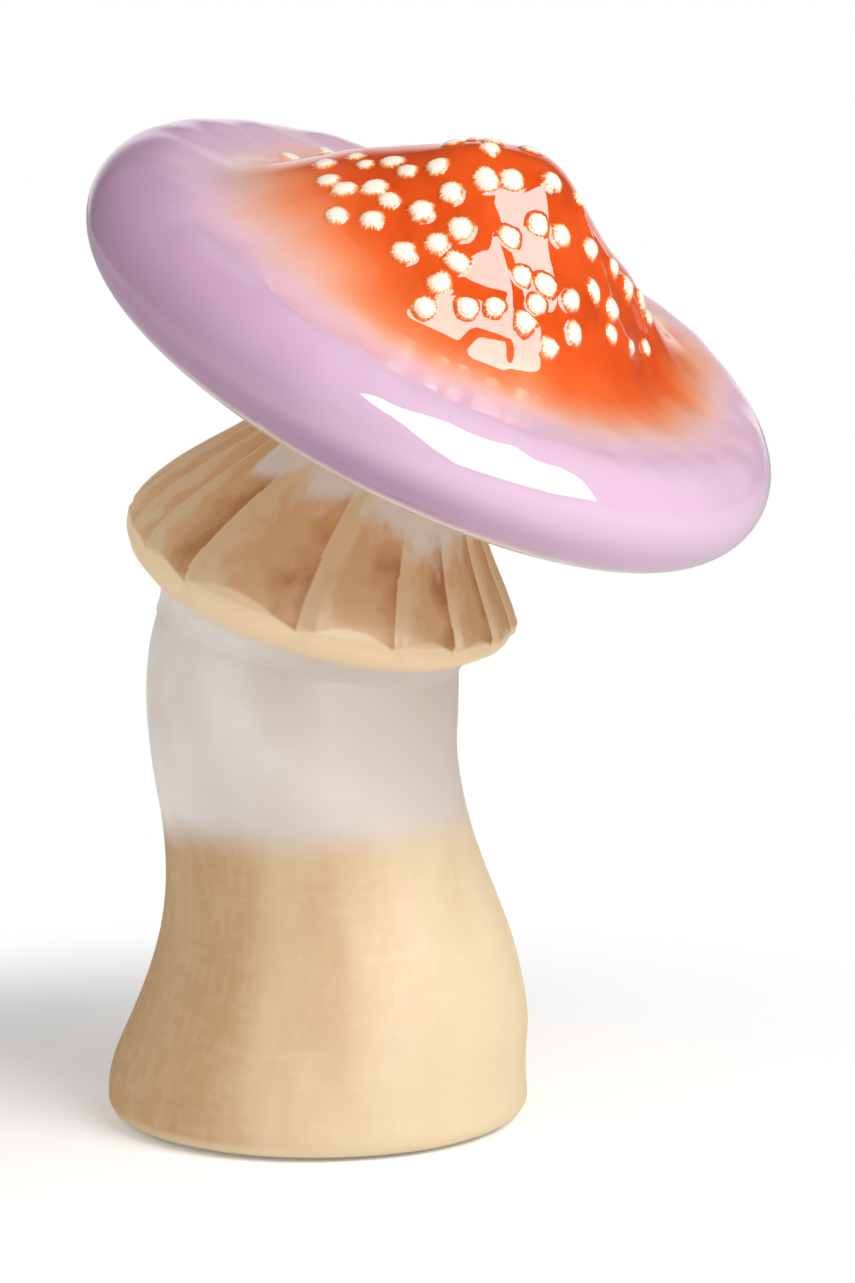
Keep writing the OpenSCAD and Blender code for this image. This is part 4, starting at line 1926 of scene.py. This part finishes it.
@dataclass
class SlipDots:
    """The raised dots of one zone, each laid over the boss where the frame holds it."""

    node: str
    seed: int
    rings: tuple[float, ...] = (
        0.0, 0.18, 0.34, 0.48, 0.58, 0.66, 0.72, 0.77, 0.81, 0.86, 0.92, 1.00, 1.10, 1.24, 1.40,
    )
    sides: int = 36
    rise_share: float = 0.42
    flat_reach: float = 0.80
    steepness: float = 10.0
    roundness: float = 0.55
    pull_share: float = 0.10
    pull_reach: float = 0.22
    pull_end: float = 1.1
    stretch: float = 0.22
    waver: float = 0.13
    lop: float = 0.12
    sink: float = 0.05
    root: float = 0.5

    def seats(self, solid: bpy.types.Object, cap: CapForm) -> list[tuple[float, float, float]]:
        """Reads where each dot stands from the frame's own solids.

        Args:
            solid: The frame's mesh of this zone's dots.
            cap: The cap that they stand on.

        Returns:
            For each dot its place on the cap, to the right and away, and its radius.
        """
        mesh = bmesh.new()
        mesh.from_mesh(solid.data)
        bmesh.ops.remove_doubles(mesh, verts=mesh.verts, dist=1e-6)
        waiting = set(mesh.verts)
        found = []
        while waiting:
            island = [waiting.pop()]
            for vert in island:
                for edge in vert.link_edges:
                    other = edge.other_vert(vert)
                    if other in waiting:
                        waiting.remove(other)
                        island.append(other)
            points = [cap.taken_out(vert.co / MM) for vert in island]
            middle = sum(points, Vector()) / len(points)
            reach = max((point - middle).length for point in points)
            found.append((middle.x, middle.y, reach))
        mesh.free()
        return sorted(found)

    def dome(self, reach: float) -> float:
        """Works out how high a dot stands, as a share of its full height.

        Args:
            reach: How far out on the dot, from its middle at 0.

        Returns:
            The share, 1 in the middle and next to nothing past the flat part.
        """
        flat = 1 + (reach / self.flat_reach) ** self.steepness
        return max(0.0, (1 - self.roundness * reach**2) / flat)

    def blob(
        self, cap: CapForm, seat: Vector, radius: float, dice: random.Random
    ) -> bmesh.types.BMesh:
        """Makes one dot: a drop of slip that has spread a little and is drawn out at its edge.

        Args:
            cap: The cap that it lies on.
            seat: Its place on the cap, to the right and away.
            radius: Its radius.
            dice: This zone's own seeded dice.

        Returns:
            The dot, in the cap's own frame. Its corners carry where they lay before it spread.
        """
        up = cap.upright(seat.x, seat.y)
        side = up.orthogonal().normalized()
        along = up.cross(side)
        foot = Vector((seat.x, seat.y, cap.height(seat.x, seat.y)))
        stretch, lie = dice.uniform(0.0, self.stretch), dice.uniform(0, math.pi)
        own = Vector((dice.uniform(-50, 50), dice.uniform(-50, 50), 0))
        tilt = Vector((dice.uniform(-self.lop, self.lop), dice.uniform(-self.lop, self.lop)))
        profile = [(reach, 0.0) for reach in self.rings]
        profile += [(self.rings[-1], -1.0), (0.0, -1.0)]
        mesh = turned(profile, self.sides)
        flat = mesh.loops.layers.uv.new(SPREAD)
        for vert in mesh.verts:
            x, y, z = vert.co
            for loop in vert.link_loops:
                loop[flat].uv = (x, y)
            reach, angle = math.hypot(x, y), math.atan2(y, x)
            ring = Vector((math.cos(angle), math.sin(angle), 0))
            spread = radius * reach * (1 + self.waver * noise.noise(own + 1.3 * ring))
            spread *= 1 + stretch * math.cos(angle - lie) ** 2
            point = foot + spread * (ring.x * side + ring.y * along)
            ground = Vector((point.x, point.y, cap.height(point.x, point.y)))
            rise = radius * self.rise_share * self.dome(reach) * (1 + tilt.x * x + tilt.y * y)
            if reach > self.flat_reach:
                pulled = math.exp((self.flat_reach - reach) / self.pull_reach)
                pulled *= 1 - smooth(self.pull_end, self.rings[-2], reach)
                rise += radius * self.pull_share * pulled
            if reach > self.rings[-2]:
                rise -= self.sink
            if z < -0.5:
                rise = -self.root
            vert.co = ground + rise * up
        return mesh

    def build(self, solid: bpy.types.Object, cap: CapForm) -> bmesh.types.BMesh:
        """Trails all the dots of the zone.

        Args:
            solid: The frame's mesh of this zone's dots.
            cap: The cap that they stand on.

        Returns:
            The dots, in their places.
        """
        dice = random.Random(self.seed)
        mesh = bmesh.new()
        one_dot = bpy.data.meshes.new(f"{self.node} one dot")
        for right, away, radius in self.seats(solid, cap):
            blob = self.blob(cap, Vector((right, away)), radius, dice)
            blob.to_mesh(one_dot)
            blob.free()
            mesh.from_mesh(one_dot)
        bpy.data.meshes.remove(one_dot)
        bmesh.ops.recalc_face_normals(mesh, faces=mesh.faces)
        for vert in mesh.verts:
            vert.co = cap.set_in(vert.co)
        return mesh

    def dress(
        self, solid: bpy.types.Object, cap: CapForm, slip: bpy.types.Material
    ) -> bpy.types.Object:
        """Makes the finished dots of the zone.

        Args:
            solid: The frame's mesh of this zone's dots.
            cap: The cap that they stand on.
            slip: The dots' material.

        Returns:
            The piece.
        """
        name = self.node.replace("dots", "slip_dots")
        piece = finished(self.build(solid, cap), name, Slot.DOTS, slip)
        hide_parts(self.node)
        return piece


@dataclass
class Softbox:
    """A square light aimed at the figurine, placed by where it shows in the glaze.

    Angles are in degrees round from the camera's side and up, and lengths in metres.
    """

    name: str
    azimuth: float
    elevation: float
    distance: float
    width: float
    height: float
    strength: float
    in_mirror: bool = True
    in_body: bool = True

    def hang(self, target: Vector) -> bpy.types.Object:
        """Hangs the light, facing the target.

        Args:
            target: The point that it faces, in metres.

        Returns:
            The light.
        """
        around, up = math.radians(self.azimuth), math.radians(self.elevation)
        towards = Vector(
            (math.sin(around) * math.cos(up), -math.cos(around) * math.cos(up), math.sin(up))
        )
        data = bpy.data.lights.new(self.name, "AREA")
        data.shape = "RECTANGLE"
        data.size, data.size_y = self.width, self.height
        data.energy = self.strength * self.width * self.height * math.pi
        lamp = bpy.data.objects.new(self.name, data)
        lamp.location = target + self.distance * towards
        lamp.rotation_euler = towards.to_track_quat("Z", "Y").to_euler()
        lamp.visible_glossy = self.in_mirror
        lamp.visible_diffuse = self.in_body
        lamp.visible_camera = False
        bpy.context.scene.collection.objects.link(lamp)
        return lamp


@dataclass
class Studio:
    """The white studio: a paper floor, a bright backdrop, a dark front and two softboxes.

    One softbox only shows as the highlight in the glaze. The other only lights the
    colours. Lengths are in metres.
    """

    target: Vector = field(default_factory=lambda: Vector((0.0221, 0.0, 0.0966)))
    distance: float = 1.069
    elevation: float = 9.5
    lens: float = 150.0
    sensor: float = 36.0
    floor_size: float = 12.0
    floor_near: float = 0.10
    floor_far: float = 0.185
    floor_glow: float = 0.17
    walls: float = 0.84
    ceiling: float = 0.28
    wall_marks: Spot = (0.05, 0.75)
    left_wall: float = 0.55
    backdrop_marks: Spot = (0.87, 0.98)
    dark: float = 0.06
    lamps: tuple[Softbox, ...] = (
        Softbox("softbox_mirror", 44, 27, 0.95, 0.92, 0.86, 11.0, in_body=False),
        Softbox("softbox_key", 46, 40, 0.95, 0.62, 0.58, 6.4, in_mirror=False),
    )

    @property
    def view(self) -> Vector:
        """The way the camera looks."""
        down = math.radians(self.elevation)
        return Vector((0, math.cos(down), -math.sin(down)))

    def camera(self) -> bpy.types.Object:
        """Sets up the camera at the photograph's height and distance.

        Returns:
            The camera.
        """
        data = bpy.data.cameras.new("camera")
        data.lens = self.lens
        data.sensor_width = self.sensor
        data.clip_end = 50.0
        camera = bpy.data.objects.new("camera", data)
        camera.location = self.target - self.distance * self.view
        camera.rotation_euler = Euler((math.pi / 2 - math.radians(self.elevation), 0, 0))
        bpy.context.scene.collection.objects.link(camera)
        bpy.context.scene.camera = camera
        return camera

    def seen(self, tree: bpy.types.NodeTree) -> bpy.types.Node:
        """Marks the rays that show a surface straight to the eye.

        Args:
            tree: The material's or the world's node tree.

        Returns:
            The node that gives 1 for those rays and 0 for the others.
        """
        rays = add_node(tree, "ShaderNodeLightPath").outputs
        straight = (rays["Is Camera Ray"], rays["Is Transmission Ray"])
        return add_node(tree, "ShaderNodeMath", straight, operation="MAXIMUM")

    def paper(self) -> bpy.types.Material:
        """White paper that shows the soft shadow near the figurine and fades to plain white.

        Returns:
            The paper's material.
        """
        material, tree = started("white paper")
        white = linear("#FFFFFF")
        plain = add_node(tree, "ShaderNodeBsdfDiffuse", {"Color": linear("#F8F8F8")})
        bright = add_node(tree, "ShaderNodeBsdfDiffuse", {"Color": white})
        glow = add_node(tree, "ShaderNodeEmission", {"Color": white, "Strength": self.floor_glow})
        near = add_node(tree, "ShaderNodeAddShader", (bright, glow))
        far = add_node(tree, "ShaderNodeEmission", {"Color": white, "Strength": 1.0})
        place = add_node(tree, "ShaderNodeNewGeometry").outputs["Position"]
        reach = add_node(tree, "ShaderNodeVectorMath", (place,), operation="LENGTH")
        fade = add_node(
            tree, "ShaderNodeMapRange", (reach, self.floor_near, self.floor_far), **SMOOTH
        )
        shown = add_node(tree, "ShaderNodeMixShader", (fade, near, far))
        mix = add_node(tree, "ShaderNodeMixShader", (self.seen(tree), plain, shown))
        add_node(tree, "ShaderNodeOutputMaterial", {"Surface": mix})
        return material

    def floor(self) -> bpy.types.Object:
        """Lays the paper.

        Returns:
            The floor.
        """
        mesh = bmesh.new()
        bmesh.ops.create_grid(mesh, x_segments=4, y_segments=4, size=self.floor_size / 2)
        data = bpy.data.meshes.new("floor")
        mesh.to_mesh(data)
        mesh.free()
        data.materials.append(self.paper())
        floor = bpy.data.objects.new("floor", data)
        bpy.context.scene.collection.objects.link(floor)
        return floor

    def backdrop(self) -> None:
        """Lights the room: pale walls, and in a mirror a white backdrop in a dark room."""
        world = bpy.data.worlds.new("studio")
        bpy.context.scene.world = world
        world.use_nodes = True
        tree = world.node_tree
        tree.nodes.clear()
        way = add_node(tree, "ShaderNodeTexCoord").outputs["Generated"]
        right, ahead, up = add_node(tree, "ShaderNodeSeparateXYZ", (way,)).outputs
        walls = add_node(
            tree, "ShaderNodeMapRange", (up, *self.wall_marks, self.walls, self.ceiling), **SMOOTH
        )
        lefter = add_node(
            tree, "ShaderNodeMath", (right, -self.left_wall, 1.0), operation="MULTIPLY_ADD"
        )
        fill = add_node(tree, "ShaderNodeMath", (walls, lefter), operation="MULTIPLY")
        mirrored = add_node(
            tree, "ShaderNodeMapRange", (ahead, *self.backdrop_marks, self.dark, 1.0), **SMOOTH
        )
        glossy = add_node(tree, "ShaderNodeLightPath").outputs["Is Glossy Ray"]
        level = add_node(tree, "ShaderNodeMix", (glossy, fill, mirrored), data_type="FLOAT")
        strength = add_node(
            tree, "ShaderNodeMix", (self.seen(tree), level, 1.0), data_type="FLOAT"
        )
        sky = add_node(
            tree, "ShaderNodeBackground", {"Color": linear("#FFFFFF"), "Strength": strength}
        )
        add_node(tree, "ShaderNodeOutputWorld", {"Surface": sky})

    def build(self) -> None:
        """Sets up the whole studio."""
        self.camera()
        self.floor()
        self.backdrop()
        for lamp in self.lamps:
            lamp.hang(self.target)
        bpy.context.scene.view_settings.view_transform = "Standard"


def main() -> None:
    """Builds the figurine piece by piece, then the studio round it."""
    logging.basicConfig(level=logging.INFO, format="%(name)s: %(message)s")
    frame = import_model()
    cap, stem = CapForm(), SwayingStem()
    FeltPad().dress()
    stem.dress(cap)
    PleatedSkirt().dress(stem, cap)
    GilledUnderside().dress(cap)
    CapCrown().dress(cap)
    slip = DotSlip("creamy white slip").over(cap)
    for seed, zone in enumerate(("peak", "front", "left", "right", "back"), start=11):
        node = f"dots_{zone}"
        SlipDots(node, seed).dress(frame["nodes"][node], cap, slip)
    Studio().build()


if __name__ == "__main__":
    main()
